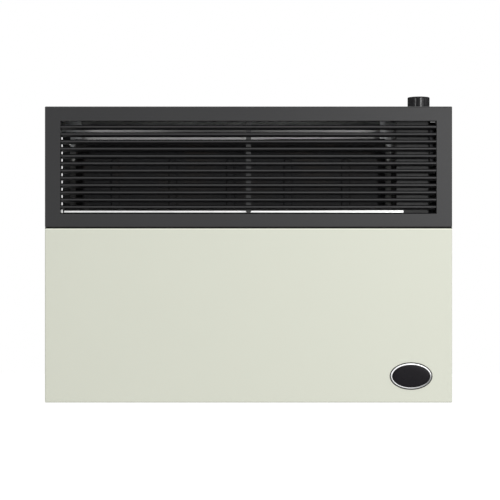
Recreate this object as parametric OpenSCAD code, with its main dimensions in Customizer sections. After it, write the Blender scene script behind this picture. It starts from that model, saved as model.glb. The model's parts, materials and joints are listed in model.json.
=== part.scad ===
// Direct-vent gas wall heater.
// X runs to the viewer's right, Y runs back into the wall and Z runs up.
// The origin is the middle of the four wall fixing holes, on the wall face (y = 0),
// so the front of the casing lies at y = -casing_d.

/* [Casing] */
// Width of the casing
casing_w = 850; // [800:5:900]
// Height of the casing, without the control knob
casing_h = 618; // [600:2:660]
// Depth of the casing from the wall
casing_d = 235; // [228:1:255]
// Height of the dark upper casing
upper_h = 252; // [246:1:262]
// Sheet thickness of both casings
casing_t = 1; // [0.8:0.1:1.4]
// Outside radius of the casing bends
bend_r = 3; // [2:0.5:5]
// Outside radius of the two edges that meet at the seam
seam_r = 2; // [1.5:0.5:3]
// Width of the flanges that meet at the seam
seam_flange_w = 13; // [12:0.5:15]
// Width of the bottom return of the lower casing
bottom_return_w = 16; // [14:1:20]

/* [Louvre] */
// Width of the casing face at each side of the window
window_border = 32.5; // [26:0.5:44]
// Height of the casing face above the window
window_drop = 30; // [27:1:34]
// Number of blades
blade_count = 12; // [10:1:12]
// Distance from blade to blade
blade_pitch = 15.2; // [14.4:0.2:15.6]
// Height of the front lip of a blade
blade_lip = 3.2; // [2.6:0.2:4]
// Depth of a blade from front to back
blade_d = 18; // [15:1:20]
// Sheet thickness of a blade
blade_t = 1.2; // [1:0.1:1.6]
// Fall of a blade's web from its front lip to its rear edge
blade_drop = 3.6; // [2:0.2:4.4]
// Height of the folded hem behind a blade's lip
blade_hem = 2.2; // [1:0.2:3]
// Window edge to the middle of the first blade
blade_margin = 12.5; // [11:0.5:14]
// Set-back of the blades from the casing face
blade_inset = 2; // [1:0.5:3]
// Width of the strap behind the blades
strap_w = 10.4; // [8:0.4:14]

/* [Badge] */
// Width of the oval badge
badge_w = 89; // [80:1:96]
// Height of the oval badge
badge_h = 57; // [50:1:62]
// Width of the bright rim
badge_rim = 5.5; // [4:0.5:7]
// Distance of the badge centre from the right side of the casing
badge_from_side = 86; // [80:1:100]
// Distance of the badge centre from the bottom of the casing
badge_from_bottom = 55.5; // [50:0.5:70]

/* [Chassis] */
// Sheet thickness of the chassis
chassis_t = 1.2; // [1:0.1:1.6]
// Air slit between the back plate and the casing's left side
back_slit = 6; // [4:0.5:12]
// The same slit at the right, behind the control bay
bay_slit = 1.5; // [1:0.5:3]
// Distance of the wall holes from the sides of the casing
wall_hole_inset = 25; // [20:1:30]
// Distance of the wall holes from the top and the bottom of the casing
wall_hole_drop = 59; // [54:1:100]
// Radius of a wall hole
wall_hole_r = 4; // [3:0.5:5]
// Gap between the casing face and the radiation shield
shield_gap = 27; // [25:1:30]
// Height of the radiation shield's top above the window's lower edge
shield_rise = 7.2; // [4:0.2:9]

/* [Combustion chamber] */
// Casing side to the left edge of the chamber
left_gap = 37.5; // [36:0.5:42]
// Width of the control bay at the right
bay_w = 115; // [112:1:120]
// Casing top to the top of the chamber
plenum_h = 59; // [58:1:66]
// Casing bottom to the bottom of the chamber
floor_gap = 94; // [80:2:100]
// Casing face to the face of the chamber
front_air = 75; // [72:1:80]
// Depth of each pressed half
press_d = 55; // [48:1:60]
// Sideways run of the drafted walls of a pressed half
press_draft = 20; // [14:1:24]
// Radius of the pressed corners
press_r = 34; // [28:1:40]
// Width of the welded seam flange
weld_w = 12; // [10:1:14]
// Sheet thickness of the chamber
chamber_t = 1.5; // [1.2:0.1:2]
// Number of stiffening ribs
rib_count = 5; // [3:1:5]
// Distance from rib to rib
rib_pitch = 123; // [100:1:126]
// Width of a rib
rib_w = 20; // [16:1:26]
// Height that a rib stands proud
rib_h = 3; // [2:0.5:4]

/* [Flue] */
// Height of the flue centre above the wall hole centre
flue_z = 100; // [80:2:110]
// Outside radius of the exhaust collar
exhaust_r = 40; // [36:0.5:44]
// Outside radius of the fresh air collar
intake_r = 63; // [58:0.5:68]
// Wall of both collars
collar_t = 1.2; // [1:0.1:2]

/* [Controls] */
// Distance of the knob axis from the right side of the casing
knob_from_side = 61; // [58:1:64]
// Distance of the knob axis from the casing face
knob_from_front = 80; // [76:1:84]
// Radius of the knob
knob_r = 23.5; // [20:0.5:24]
// Height of the knob above the casing top
knob_rise = 27; // [22:1:30]
// Travel of the knob when it is pressed
knob_travel = 5; // [3:0.5:6]
// Number of flutes round the knob
knob_flutes = 40; // [24:4:48]
// Radius of the igniter button
button_r = 6.5; // [5:0.5:7]
// Height of the igniter button above the casing top
button_rise = 8; // [7:0.5:10]
// Distance of the igniter button behind the knob axis
button_back = 51; // [50:1:54]

/* [Burner and gas line] */
// Radius of the burner tube
burner_r = 16; // [14:0.5:18]
// Number of flame ports
port_count = 36; // [20:1:40]
// Radius of the gas supply pipe
supply_r = 6; // [5:0.5:7]
// Radius of the main burner feed pipe
feed_r = 5; // [4:0.5:6]
// Radius of the threaded gas inlet
inlet_r = 10.4; // [8:0.2:12]
// Length of the threaded gas inlet
inlet_len = 14; // [12:1:18]
// Height of the burner door
door_h = 84; // [80:2:90]
// Width of the burner door
door_w = 210; // [206:2:220]

/* [Hidden] */
$fn = 48;
eps = 0.01;

// Finishes
charcoal = [0.27, 0.27, 0.28];
cream = [0.84, 0.85, 0.79];
galvanised = [0.72, 0.73, 0.74];
enamel = [0.09, 0.09, 0.10];
steel = [0.62, 0.62, 0.63];
brass = [0.78, 0.62, 0.30];
copper = [0.72, 0.45, 0.30];
castmetal = [0.60, 0.61, 0.62];
plastic = [0.10, 0.10, 0.11];
chrome = [0.86, 0.86, 0.88];
gasket_grey = [0.55, 0.54, 0.50];
ceramic = [0.92, 0.91, 0.88];

// Overall planes
side_x = casing_w / 2;
top_z = casing_h / 2;
bottom_z = -casing_h / 2;
face_y = -casing_d;
seam_z = top_z - upper_h;
inner_top_z = top_z - casing_t;
inner_face_y = face_y + casing_t;
wall_hole_x = side_x - wall_hole_inset;
wall_hole_z = top_z - wall_hole_drop;

// Window and blades
window_w = casing_w - 2 * window_border;
window_h = (blade_count - 1) * blade_pitch + 2 * blade_margin;
window_z = top_z - window_drop - window_h / 2;
window_bottom_z = window_z - window_h / 2;
window_r = 1.5;
window_return_d = 10;
blade_front_y = face_y + blade_inset;
blade_rear_y = blade_front_y + blade_d;
blade_gap = 0.3;
tab_d = 10;
tab_back = 2;
tab_reach = 4;
tab_clear = 0.2;
carrier_w = 16;
carrier_over = 12;
strap_t = 1.5;
strap_over = 6;

// Small fasteners
screw_r = 1.95;
screw_hole_r = 2.15;
head_r = 4;
head_h = 2.6;
nut_h = 3.2;

// Chassis planes
back_x = side_x - back_slit - casing_t;
back_right_x = side_x - bay_slit - casing_t;
back_foot_gap = 9;
back_head_gap = 11.5;
back_bottom_z = bottom_z + back_foot_gap;
back_top_z = top_z - back_head_gap;
shield_y = face_y + shield_gap;
shield_top_z = window_bottom_z + shield_rise;

// Chamber planes
chamber_left_x = -side_x + left_gap;
chamber_right_x = side_x - bay_w;
chamber_x = (chamber_left_x + chamber_right_x) / 2;
chamber_w = chamber_right_x - chamber_left_x;
chamber_top_z = top_z - plenum_h;
chamber_bottom_z = bottom_z + floor_gap;
chamber_z = (chamber_top_z + chamber_bottom_z) / 2;
chamber_h = chamber_top_z - chamber_bottom_z;
chamber_face_y = face_y + front_air;
weld_y = chamber_face_y + press_d;
chamber_rear_y = weld_y + press_d;
press_w = chamber_w - 2 * weld_w;
press_h = chamber_h - 2 * weld_w;
press_edge_r = 6;
rib_inset = 12;
rib_top_z = chamber_top_z - weld_w - press_draft - rib_inset;
rib_x = [for (i = [0 : rib_count - 1]) chamber_x + (i - (rib_count - 1) / 2) * rib_pitch];

// Burner door, burner and pilot
door_inset = 14;
door_rise = 10;
door_x = chamber_right_x - weld_w - press_draft - door_inset - door_w / 2;
door_z = chamber_bottom_z + weld_w + press_draft + door_rise + door_h / 2;
door_t = 2;
gasket_t = 2;
door_border = 12;
gasket_y = chamber_face_y - gasket_t;
door_y = gasket_y - door_t;
rib_above_door = 16;
rib_bottom_z = door_z + door_h / 2 + rib_above_door;
burner_below_door = 19;
burner_end_gap = 58;
injector_inset = 10;
injector_len = 46;
burner_y = weld_y;
burner_z = door_z - burner_below_door;
burner_t = 1.2;
burner_left_x = chamber_left_x + burner_end_gap;
injector_x = door_x + door_w / 2 - door_border - injector_inset;
burner_right_x = injector_x - injector_len;
venturi_len = 24;
gland_drop = 7;
pilot_gap = 14;
pilot_inset = 56;
gland_z = door_z - gland_drop;
pilot_y = burner_y - burner_r - pilot_gap;
pilot_x = injector_x - pilot_inset;
pilot_step = 18;
pilot_shelf_z = gland_z + 10;
shelf_t = 1.2;
window_port_inset = 48;
window_port_x = door_x - door_w / 2 + window_port_inset;
window_port_r = 20;

// Base rail and uprights
rail_h = 34;
upright_gap = 6;
upright_head_gap = 25;
rail_top_z = bottom_z + casing_t + rail_h;
upright_flange_w = weld_w - 0.8;
upright_rear_w = 20;
upright_top_z = top_z - upright_head_gap;
upright_bottom_z = rail_top_z + upright_gap;
upright_front_y = weld_y + chamber_t;

// Top deflector
deflector_head_gap = 12;
deflector_inset = 9;
deflector_top_z = top_z - deflector_head_gap;
deflector_rear_y = chamber_rear_y;
deflector_bottom_z = chamber_top_z + 4;
deflector_front_y = shield_y - 3;
deflector_r = 24;
deflector_left_x = chamber_left_x + deflector_inset;
deflector_right_x = chamber_right_x - deflector_inset;

// Controls
knob_x = side_x - knob_from_side;
knob_y = face_y + knob_from_front;
valve_drop = 47;
valve_top_z = top_z - valve_drop;
valve_h = 72;
valve_bottom_z = valve_top_z - valve_h;
valve_w = 66;
valve_d = 80;
valve_y = knob_y - 1;
turret_r = 17;
turret_h = 18;
turret_top_z = valve_top_z + turret_h;
sleeve_r = 12;
sleeve_bore_r = 8.05;
sleeve_gap = 0.1;
sleeve_rise = 6;
sleeve_head_gap = 9;
sleeve_bottom_z = valve_top_z + sleeve_rise;
sleeve_top_z = top_z - sleeve_head_gap;
plunger_r = 8;
plunger_bottom_z = sleeve_bottom_z + knob_travel + 1;
knob_skirt = 7;
knob_bottom_z = top_z - knob_skirt;
knob_top_z = top_z + knob_rise;
knob_wall = 3.5;
knob_gap = 1.5;
boss_r = 7;
boss_bottom_z = knob_bottom_z + 1;
stem_r = 4;
stem_len = 19;
stem_top_z = boss_bottom_z + stem_len;
stem_gap = 0.05;
key_w = 2;
key_gap = 0.1;
key_len = 12;
bracket_x = chamber_right_x;
bracket_t = 2;
button_y = knob_y + button_back;
button_gap = 1;
button_seat_z = valve_top_z;
button_travel = 18;
button_bottom_z = button_seat_z + button_travel;
barrel_r = 9;
barrel_clear = 0.2;
barrel_below = 47;
barrel_top_z = top_z - sleeve_head_gap;
barrel_bottom_z = valve_top_z - barrel_below;
button_bore_gap = 0.1;

// Gas line stations
valve_left_x = knob_x - valve_w / 2;
valve_right_x = knob_x + valve_w / 2;
line_y = door_y - 21;
thermo_port = [valve_left_x + 8, line_y];
pilot_port = [valve_left_x + 22, line_y];
feed_port = [knob_x + 10, line_y];
supply_port = [valve_left_x + 20, valve_y + 24];
level_step = 12;
lead_level = gland_z + 34;
pilot_level = lead_level + level_step;
thermo_level = pilot_level + level_step;
inlet_x = supply_port[0];
inlet_from_wall = 60;
inlet_rise = 19;
inlet_y = -inlet_from_wall;
inlet_top_z = bottom_z + inlet_rise;
inlet_nut_h = 10;
inlet_shoulder_r = inlet_r + 1;

// ---------------------------------------------------------------- helpers

// A block between two opposite corners
module block(low, high) {
    translate(low) cube(high - low);
}

// A rectangle with round corners, centred
module round_rect(w, h, r) {
    square([w - 2 * r, h], center = true);
    square([w, h - 2 * r], center = true);
    for (sx = [-1, 1], sy = [-1, 1])
        translate([sx * (w / 2 - r), sy * (h / 2 - r)]) circle(r);
}

// Stands a drawing up so that it faces the room, with its near face at y
module facing(y, depth) {
    translate([0, y + depth, 0]) rotate([90, 0, 0]) linear_extrude(depth) children();
}

// Runs a drawing of y and z along X from x0 to x1
module along_x(x0, x1) {
    translate([x0, 0, 0]) rotate([90, 0, 90]) linear_extrude(x1 - x0) children();
}

// A cylinder along Y from y0 to y1
module peg_y(x, y0, y1, z, r) {
    translate([x, y1, z]) rotate([90, 0, 0]) cylinder(r = r, h = y1 - y0);
}

// A cylinder along X from x0 to x1
module peg_x(x0, x1, y, z, r) {
    translate([x0, y, z]) rotate([0, 90, 0]) cylinder(r = r, h = x1 - x0);
}

// Pan head screw with its hexagon nut: the head sits at z = 0 and the shank points down
module screw_and_nut(grip) {
    cylinder(r = head_r, h = head_h);
    translate([0, 0, -grip - nut_h - 1]) cylinder(r = screw_r, h = grip + nut_h + 1);
    translate([0, 0, -grip - nut_h]) difference() {
        cylinder(r = head_r, h = nut_h, $fn = 6);
        translate([0, 0, -1]) cylinder(r = screw_r + 0.02, h = nut_h + 2);
    }
}

// Weld stud that stands on z = 0 and goes through a sheet, with its nut
module stud_and_nut(grip) {
    cylinder(r = screw_r, h = grip + nut_h + 2);
    translate([0, 0, grip]) difference() {
        cylinder(r = head_r, h = nut_h, $fn = 6);
        translate([0, 0, -1]) cylinder(r = screw_r + 0.02, h = nut_h + 2);
    }
}

// Pan head screw alone, same seat
module screw(grip) {
    cylinder(r = head_r, h = head_h);
    translate([0, 0, -grip]) cylinder(r = screw_r, h = grip + eps);
}

// Points the local -Z of a fastener along the given direction
module aim(at, turn) {
    translate(at) rotate(turn) children();
}

// Plan outline of the casing: the two front corners are bent
module casing_plan(half_w, front, back, r) {
    translate([-half_w, front + r]) square([2 * half_w, back - front - r]);
    translate([-half_w + r, front]) square([2 * (half_w - r), back - front]);
    for (s = [-1, 1]) translate([s * (half_w - r), front + r]) circle(r);
}

// Outline from the side (y, z): bent at the upper and lower front edges
module casing_profile(front, back, low, high, r_low, r_high) {
    translate([front, low + r_low]) square([back - front, high - low - r_low - r_high]);
    translate([front + r_low, low]) square([back - front - r_low, high - low - r_high]);
    translate([front + r_high, low + r_low]) square([back - front - r_high, high - low - r_low]);
    translate([front + r_low, low + r_low]) circle(r_low);
    translate([front + r_high, high - r_high]) circle(r_high);
}

// Outline from the front (x, z): bent at all four edges along the sides
module casing_front(half_w, low, high, r_low, r_high) {
    for (s = [-1, 1]) on_side(s) casing_half(half_w, low, high, r_low, r_high);
}

// Drawn for the right side, mirrored for the left when s is -1
module on_side(s) {
    if (s > 0) children();
    else mirror([1, 0, 0]) children();
}

module casing_half(half_w, low, high, r_low, r_high) {
    translate([0, low + r_low]) square([half_w, high - low - r_low - r_high]);
    translate([0, low]) square([half_w - r_low, high - low - r_high]);
    translate([0, low + r_low]) square([half_w - r_high, high - low - r_low]);
    translate([half_w - r_low, low + r_low]) circle(r_low);
    translate([half_w - r_high, high - r_high]) circle(r_high);
}

// A solid with the casing's bent edges
module casing_form(half_w, front, back, low, high, r_side, r_low, r_high) {
    intersection() {
        translate([0, 0, low]) linear_extrude(high - low) casing_plan(half_w, front, back, r_side);
        along_x(-half_w, half_w) casing_profile(front, back, low, high, r_low, r_high);
        facing(front, back - front) casing_front(half_w, low, high, r_low, r_high);
    }
}

// Where the seam screws stand: along the front flange and along both sides
seam_mid = casing_t + (seam_flange_w - casing_t) / 2;
seam_spots = concat(
    [for (x = [-3, -1, 1, 3]) [x * side_x / 4, face_y + seam_mid]],
    [for (s = [-1, 1], d = [0.3, 0.75]) [s * (side_x - seam_mid), face_y * d]]
);

// ---------------------------------------------------------------- casings

module upper_casing() {
    color(charcoal) difference() {
        union() {
            difference() {
                casing_form(side_x, face_y, 0, seam_z, top_z, bend_r, seam_r, bend_r);
                casing_form(side_x - casing_t, inner_face_y, 1, seam_z + casing_t, inner_top_z,
                    bend_r - casing_t, seam_r - casing_t, bend_r - casing_t);
                seam_mouth();
                facing(face_y - 1, casing_t + 2) translate([0, window_z])
                    round_rect(window_w, window_h, window_r);
            }
            window_returns();
            // Down-turned lip along the rear edge of the top
            block([-side_x + casing_t, -casing_t, back_top_z + 0.5], [side_x - casing_t, 0, inner_top_z]);
        }
        translate([knob_x, knob_y, inner_top_z - 1]) cylinder(r = knob_r + knob_gap, h = casing_t + 2);
        translate([knob_x, button_y, inner_top_z - 1]) cylinder(r = button_r + button_gap, h = casing_t + 2);
        seam_holes();
    }
}

// Lips turned in along the top and the bottom of the window
module window_returns() {
    for (s = [-1, 1]) {
        mid = window_z + s * (window_h / 2 + casing_t / 2);
        block([-window_w / 2 + window_r, inner_face_y, mid - casing_t / 2],
              [window_w / 2 - window_r, inner_face_y + window_return_d, mid + casing_t / 2]);
    }
}

// The opening inside the seam flanges, which stop short of the back plate
flange_stop = 4;

module seam_mouth() {
    translate([0, 0, seam_z - casing_t - 1]) linear_extrude(2 * casing_t + 2)
        casing_plan(side_x - seam_flange_w, face_y + seam_flange_w, 1, seam_r);
    block([-side_x + casing_t, -flange_stop, seam_z - casing_t - 1],
          [side_x - casing_t, 1, seam_z + casing_t + 1]);
}

module seam_holes() {
    for (p = seam_spots) translate([p[0], p[1], seam_z - casing_t - 1])
        cylinder(r = screw_hole_r, h = 2 * casing_t + 2);
}

module lower_casing() {
    color(cream) difference() {
        casing_form(side_x, face_y, 0, bottom_z, seam_z, bend_r, bend_r, seam_r);
        casing_form(side_x - casing_t, inner_face_y, 1, bottom_z + casing_t, seam_z - casing_t,
            bend_r - casing_t, bend_r - casing_t, seam_r - casing_t);
        seam_mouth();
        translate([0, 0, bottom_z - 1]) linear_extrude(casing_t + 2)
            casing_plan(side_x - bottom_return_w, face_y + bottom_return_w, 1, bend_r);
        seam_holes();
        for (s = [-1, 1])
            peg_y(badge_x + s * badge_pin_x, face_y - 1, inner_face_y + 1, badge_z, badge_pin_r + 0.2);
    }
}

module seam_screws() {
    color(steel) for (p = seam_spots)
        translate([p[0], p[1], seam_z + casing_t]) screw_and_nut(2 * casing_t);
}

// Weld studs and nuts that hold the lower casing down on the base rail
foot_y = face_y + casing_t + (bottom_return_w - casing_t) / 2;
foot_inset = 125;
foot_spots = [for (s = [-1, 1]) s * (side_x - foot_inset)];

module casing_foot_fixings() {
    color(steel) for (x = foot_spots)
        translate([x, foot_y, bottom_z + casing_t]) stud_and_nut(chassis_t);
}

// ---------------------------------------------------------------- louvre

function blade_z(i) = window_bottom_z + blade_margin + i * blade_pitch;

// Height of the web's lower side at a distance y behind the blade's front
function web_low(y) = -blade_lip / 2 - blade_drop * (y - blade_t / 2) / (blade_d - blade_t / 2);

// Section of the sloping web from y0 to y1, grown by a clearance
module web_section(y0, y1, clear = 0) {
    polygon([[y0 - clear, web_low(y0) - clear], [y1 + clear, web_low(y1) - clear],
             [y1 + clear, web_low(y1) + blade_t + clear], [y0 - clear, web_low(y0) + blade_t + clear]]);
}

// The part of the web that goes on into a carrier as a tab, grown by a clearance
module tab_section(clear = 0) {
    web_section(blade_d - tab_back - tab_d, blade_d - tab_back, clear);
}

// Section of a blade: a rounded front lip, a folded hem behind it, and a web that falls rearwards
hem_lap = 0.2;

module blade_section() {
    foot = web_low(blade_t) + blade_t / 2;
    translate([blade_t / 2, 0]) round_rect(blade_t, blade_lip, blade_t / 2 - 0.1);
    translate([blade_t - hem_lap, foot]) square([blade_t, blade_lip / 2 + blade_hem - foot]);
    web_section(blade_t / 2, blade_d);
}

module louvre_blades() {
    color(charcoal) for (i = [0 : blade_count - 1]) translate([0, blade_front_y, blade_z(i)]) {
        half = window_w / 2 - blade_gap;
        tip = half + tab_reach;
        low = -blade_lip - blade_drop;
        high = blade_lip + blade_hem;
        difference() {
            along_x(-tip, tip) blade_section();
            for (s = [-1, 1]) on_side(s) {
                block([half, -1, low], [tip + 1, blade_d - tab_back - tab_d, high]);
                block([half, blade_d - tab_back, low], [tip + 1, blade_d + 1, high]);
            }
        }
    }
}

// Angle that carries the blade ends; s is -1 on the left and 1 on the right
module louvre_carrier(s) {
    low = window_z - window_h / 2 - carrier_over;
    high = window_z + window_h / 2 + carrier_over;
    color(charcoal) difference() {
        on_side(s) union() {
            block([window_w / 2, inner_face_y, low], [window_w / 2 + chassis_t, blade_rear_y + 1, high]);
            block([window_w / 2, inner_face_y, low],
                  [window_w / 2 + carrier_w, inner_face_y + chassis_t, high]);
        }
        for (i = [0 : blade_count - 1]) translate([0, blade_front_y, blade_z(i)])
            on_side(s) along_x(window_w / 2 - 1, window_w / 2 + chassis_t + 1) tab_section(tab_clear);
        for (z = carrier_spots)
            peg_y(s * carrier_stud_x, inner_face_y - 1, inner_face_y + chassis_t + 1, z, screw_hole_r);
    }
}

module louvre_carrier_left() { louvre_carrier(-1); }
module louvre_carrier_right() { louvre_carrier(1); }

// Strap welded to the rear edges of the blades; its lower end is round and free
module louvre_strap() {
    color(charcoal) facing(blade_rear_y, strap_t) {
        translate([-strap_w / 2, window_bottom_z + strap_w / 2])
            square([strap_w, window_h - strap_w / 2 + strap_over]);
        translate([0, window_bottom_z + strap_w / 2]) circle(strap_w / 2);
    }
}

carrier_stud_x = window_w / 2 + chassis_t + (carrier_w - chassis_t) / 2;
carrier_stud_inset = 8;
carrier_spots = [for (k = [-1, 0, 1]) window_z + k * (window_h / 2 - carrier_stud_inset)];

// Weld studs on the casing with the nuts that hold the carriers
module louvre_fixings() {
    color(steel) for (s = [-1, 1], z = carrier_spots)
        aim([s * carrier_stud_x, inner_face_y, z], [-90, 0, 0]) stud_and_nut(chassis_t);
}

// ---------------------------------------------------------------- badge

badge_x = side_x - badge_from_side;
badge_z = bottom_z + badge_from_bottom;
badge_pin_inset = 20;
badge_pin_x = badge_w / 2 - badge_pin_inset;
badge_pin_r = 1.5;
badge_t = 2.4;

// Ellipse drawn by its formula
module oval(w, h) {
    polygon([for (a = [0 : 6 : 354]) [cos(a) * w / 2, sin(a) * h / 2]]);
}

module badge_rim_ring() {
    color(chrome) facing(face_y - badge_t, badge_t) translate([badge_x, badge_z]) difference() {
        oval(badge_w, badge_h);
        oval(badge_w - 2 * badge_rim, badge_h - 2 * badge_rim);
    }
}

module badge_plate() {
    color(plastic) {
        facing(face_y - badge_t + 0.8, badge_t - 0.8) translate([badge_x, badge_z])
            oval(badge_w - 2 * badge_rim - 0.2, badge_h - 2 * badge_rim - 0.2);
        for (s = [-1, 1])
            peg_y(badge_x + s * badge_pin_x, face_y - eps, inner_face_y + 3, badge_z, badge_pin_r);
    }
}

// ---------------------------------------------------------------- chassis

module back_plate() {
    color(galvanised) difference() {
        block([-back_x, -chassis_t, back_bottom_z], [back_right_x, 0, back_top_z]);
        for (sx = [-1, 1], sz = [-1, 1])
            peg_y(sx * wall_hole_x, -chassis_t - 1, 1, sz * wall_hole_z, wall_hole_r);
        peg_y(chamber_x, -chassis_t - 1, 1, flue_z, intake_r + 5);
        for (p = back_screw_spots) peg_y(p[0], -chassis_t - 1, 1, p[1], screw_hole_r);
    }
}

// Brackets that the top of the casing hangs on
hook_inset = 185;
hook_w = 40;
hook_drop = 24;
hook_reach = 28;
hook_x = side_x - hook_inset;
hook_bottom_z = back_top_z - hook_drop;
hook_screw_z = hook_bottom_z + hook_drop / 3;

// Screws through the rear flanges of the uprights and the base arms
upright_screw_step = 60;
upright_screw_z = [upright_bottom_z + upright_screw_step, flue_z - upright_screw_step,
    upright_top_z - upright_screw_step / 2];
arm_inset = 25;
arm_flange_w = 16;
arm_screw_rise = 12;
arm_x = back_x - arm_inset;
arm_screw_z = back_bottom_z + arm_screw_rise;
inlet_screw_x = 14;
inlet_screw_rise = 16;
inlet_spots = [for (s = [-1, 1]) [inlet_x + s * inlet_screw_x, inlet_top_z + inlet_screw_rise]];
back_screw_spots = concat(
    [for (z = upright_screw_z) [chamber_left_x + upright_rear_w - 7, z]],
    [for (z = upright_screw_z) [chamber_right_x - upright_rear_w + 7, z]],
    [for (s = [-1, 1]) [s * (arm_x - arm_flange_w / 2 - 1), arm_screw_z]],
    [for (s = [-1, 1]) [s * hook_x, hook_screw_z]],
    inlet_spots
);

// The upright's outward tab, and the two screws of each deflector bracket
tab_out = 20;
tab_screw_out = 13.5;
tab_low_z = valve_top_z + bracket_t + 1;
tab_high_z = upright_top_z + 6;

function edge_x(s) = s < 0 ? chamber_left_x : chamber_right_x;
function deflector_screws(s) = [
    [edge_x(s) - s * weld_w / 2, chamber_top_z + weld_w],
    [edge_x(s) + s * tab_screw_out, tab_high_z - 6]
];

// Screws between the valve bracket and the right upright: y and z
bracket_screw_y = weld_y + 22;
bracket_spots = [[bracket_screw_y, valve_bottom_z + 6], [bracket_screw_y, valve_top_z - 8],
    [-45, valve_top_z - 30]];

// Channel that carries one side of the chamber; s is -1 on the left and 1 on the right
module upright(s) {
    edge = edge_x(s);
    front = upright_front_y;
    color(galvanised) difference() {
        union() {
            block([min(edge, edge - s * chassis_t), front, upright_bottom_z],
                  [max(edge, edge - s * chassis_t), -chassis_t, upright_top_z]);
            block([min(edge, edge - s * upright_rear_w), -2 * chassis_t, upright_bottom_z],
                  [max(edge, edge - s * upright_rear_w), -chassis_t, upright_top_z]);
            block([min(edge, edge - s * upright_flange_w), front, upright_bottom_z],
                  [max(edge, edge - s * upright_flange_w), front + chassis_t, upright_top_z]);
            block([min(edge, edge + s * tab_out), front, tab_low_z],
                  [max(edge, edge + s * tab_out), front + chassis_t, tab_high_z]);
        }
        for (z = upright_screw_z)
            peg_y(edge - s * (upright_rear_w - 7), -2 * chassis_t - 1, 0, z, screw_hole_r);
        for (z = chamber_screw_z)
            peg_y(edge - s * weld_w / 2, front - 1, front + chassis_t + 1, z, screw_hole_r);
        for (p = deflector_screws(s)) peg_y(p[0], front - 1, front + chassis_t + 1, p[1], screw_hole_r);
        if (s > 0) for (p = bracket_spots)
            peg_x(edge - chassis_t - 1, edge + 1, p[0], p[1], screw_hole_r);
    }
}

module left_upright() { upright(-1); }
module right_upright() { upright(1); }

// Angle along the foot of the casing
rail_x = arm_x + 2;
rail_front_gap = 3;

module base_rail() {
    color(galvanised) difference() {
        union() {
            block([-rail_x, inner_face_y + rail_front_gap, bottom_z + casing_t],
                  [rail_x, shield_y + 2 * chassis_t, bottom_z + casing_t + chassis_t]);
            block([-rail_x, shield_y + chassis_t, bottom_z + casing_t],
                  [rail_x, shield_y + 2 * chassis_t, rail_top_z]);
        }
        for (x = foot_spots) translate([x, foot_y, bottom_z]) cylinder(r = screw_hole_r, h = 5);
        for (p = rail_screw_spots)
            peg_y(p[0], shield_y, shield_y + 2 * chassis_t + 1, p[1], screw_hole_r);
    }
}

rail_screw_spots = [for (s = [-1, 1]) [s * (arm_x - arm_flange_w / 2 - 1), rail_top_z - 12]];

// Arms from the back plate to the base rail
module base_arms() {
    x0 = arm_x - chassis_t;
    low = back_bottom_z;
    high = rail_top_z;
    color(galvanised) for (s = [-1, 1]) on_side(s) difference() {
        union() {
            block([x0, shield_y + 2 * chassis_t, low], [arm_x, -chassis_t, high]);
            block([arm_x - arm_flange_w, -2 * chassis_t, low], [arm_x, -chassis_t, high]);
            block([arm_x - arm_flange_w, shield_y + 2 * chassis_t, low],
                  [arm_x, shield_y + 3 * chassis_t, high]);
        }
        peg_y(arm_x - arm_flange_w / 2 - 1, -2 * chassis_t - 1, 0, arm_screw_z, screw_hole_r);
        peg_y(arm_x - arm_flange_w / 2 - 1, shield_y + chassis_t, shield_y + 4 * chassis_t,
            rail_top_z - 12, screw_hole_r);
    }
}

// Shelf bracket that holds the gas inlet
inlet_shelf_w = 46;
inlet_shelf_d = 20;
inlet_shelf_h = 26;

module inlet_bracket() {
    shelf_z = inlet_top_z - chassis_t;
    color(galvanised) difference() {
        union() {
            block([inlet_x - inlet_shelf_w / 2, inlet_y - inlet_shelf_d, shelf_z],
                  [inlet_x + inlet_shelf_w / 2, -chassis_t, inlet_top_z]);
            block([inlet_x - inlet_shelf_w / 2, -2 * chassis_t, shelf_z],
                  [inlet_x + inlet_shelf_w / 2, -chassis_t, inlet_top_z + inlet_shelf_h]);
        }
        translate([inlet_x, inlet_y, shelf_z - 1]) cylinder(r = inlet_shoulder_r + 0.05, h = chassis_t + 2);
        for (p = inlet_spots) peg_y(p[0], -2 * chassis_t - 1, 0, p[1], screw_hole_r);
    }
}

module casing_hooks() {
    color(galvanised) for (s = [-1, 1]) difference() {
        union() {
            block([s * hook_x - hook_w / 2, -2 * chassis_t, hook_bottom_z],
                  [s * hook_x + hook_w / 2, -chassis_t, inner_top_z]);
            block([s * hook_x - hook_w / 2, -hook_reach, inner_top_z - chassis_t],
                  [s * hook_x + hook_w / 2, -chassis_t, inner_top_z]);
        }
        peg_y(s * hook_x, -2 * chassis_t - 1, 0, hook_screw_z, screw_hole_r);
    }
}

// Bright sheet that turns the warm air forward: rear leg, bend, top leg and a drip lip
module top_deflector() {
    color(galvanised) along_x(deflector_left_x, deflector_right_x) deflector_section();
}

module deflector_section() {
    translate([deflector_rear_y - chassis_t, deflector_bottom_z])
        square([chassis_t, deflector_top_z - deflector_r - deflector_bottom_z]);
    translate([deflector_front_y, deflector_top_z - chassis_t])
        square([deflector_rear_y - deflector_r - deflector_front_y, chassis_t]);
    translate([deflector_rear_y - deflector_r, deflector_top_z - deflector_r]) intersection() {
        difference() {
            circle(deflector_r);
            circle(deflector_r - chassis_t);
        }
        square(deflector_r + 1);
    }
}

// End brackets: a plate on the upright, and an arm under the deflector's top leg
plate_in = 24;
arm_in = 31;

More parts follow.
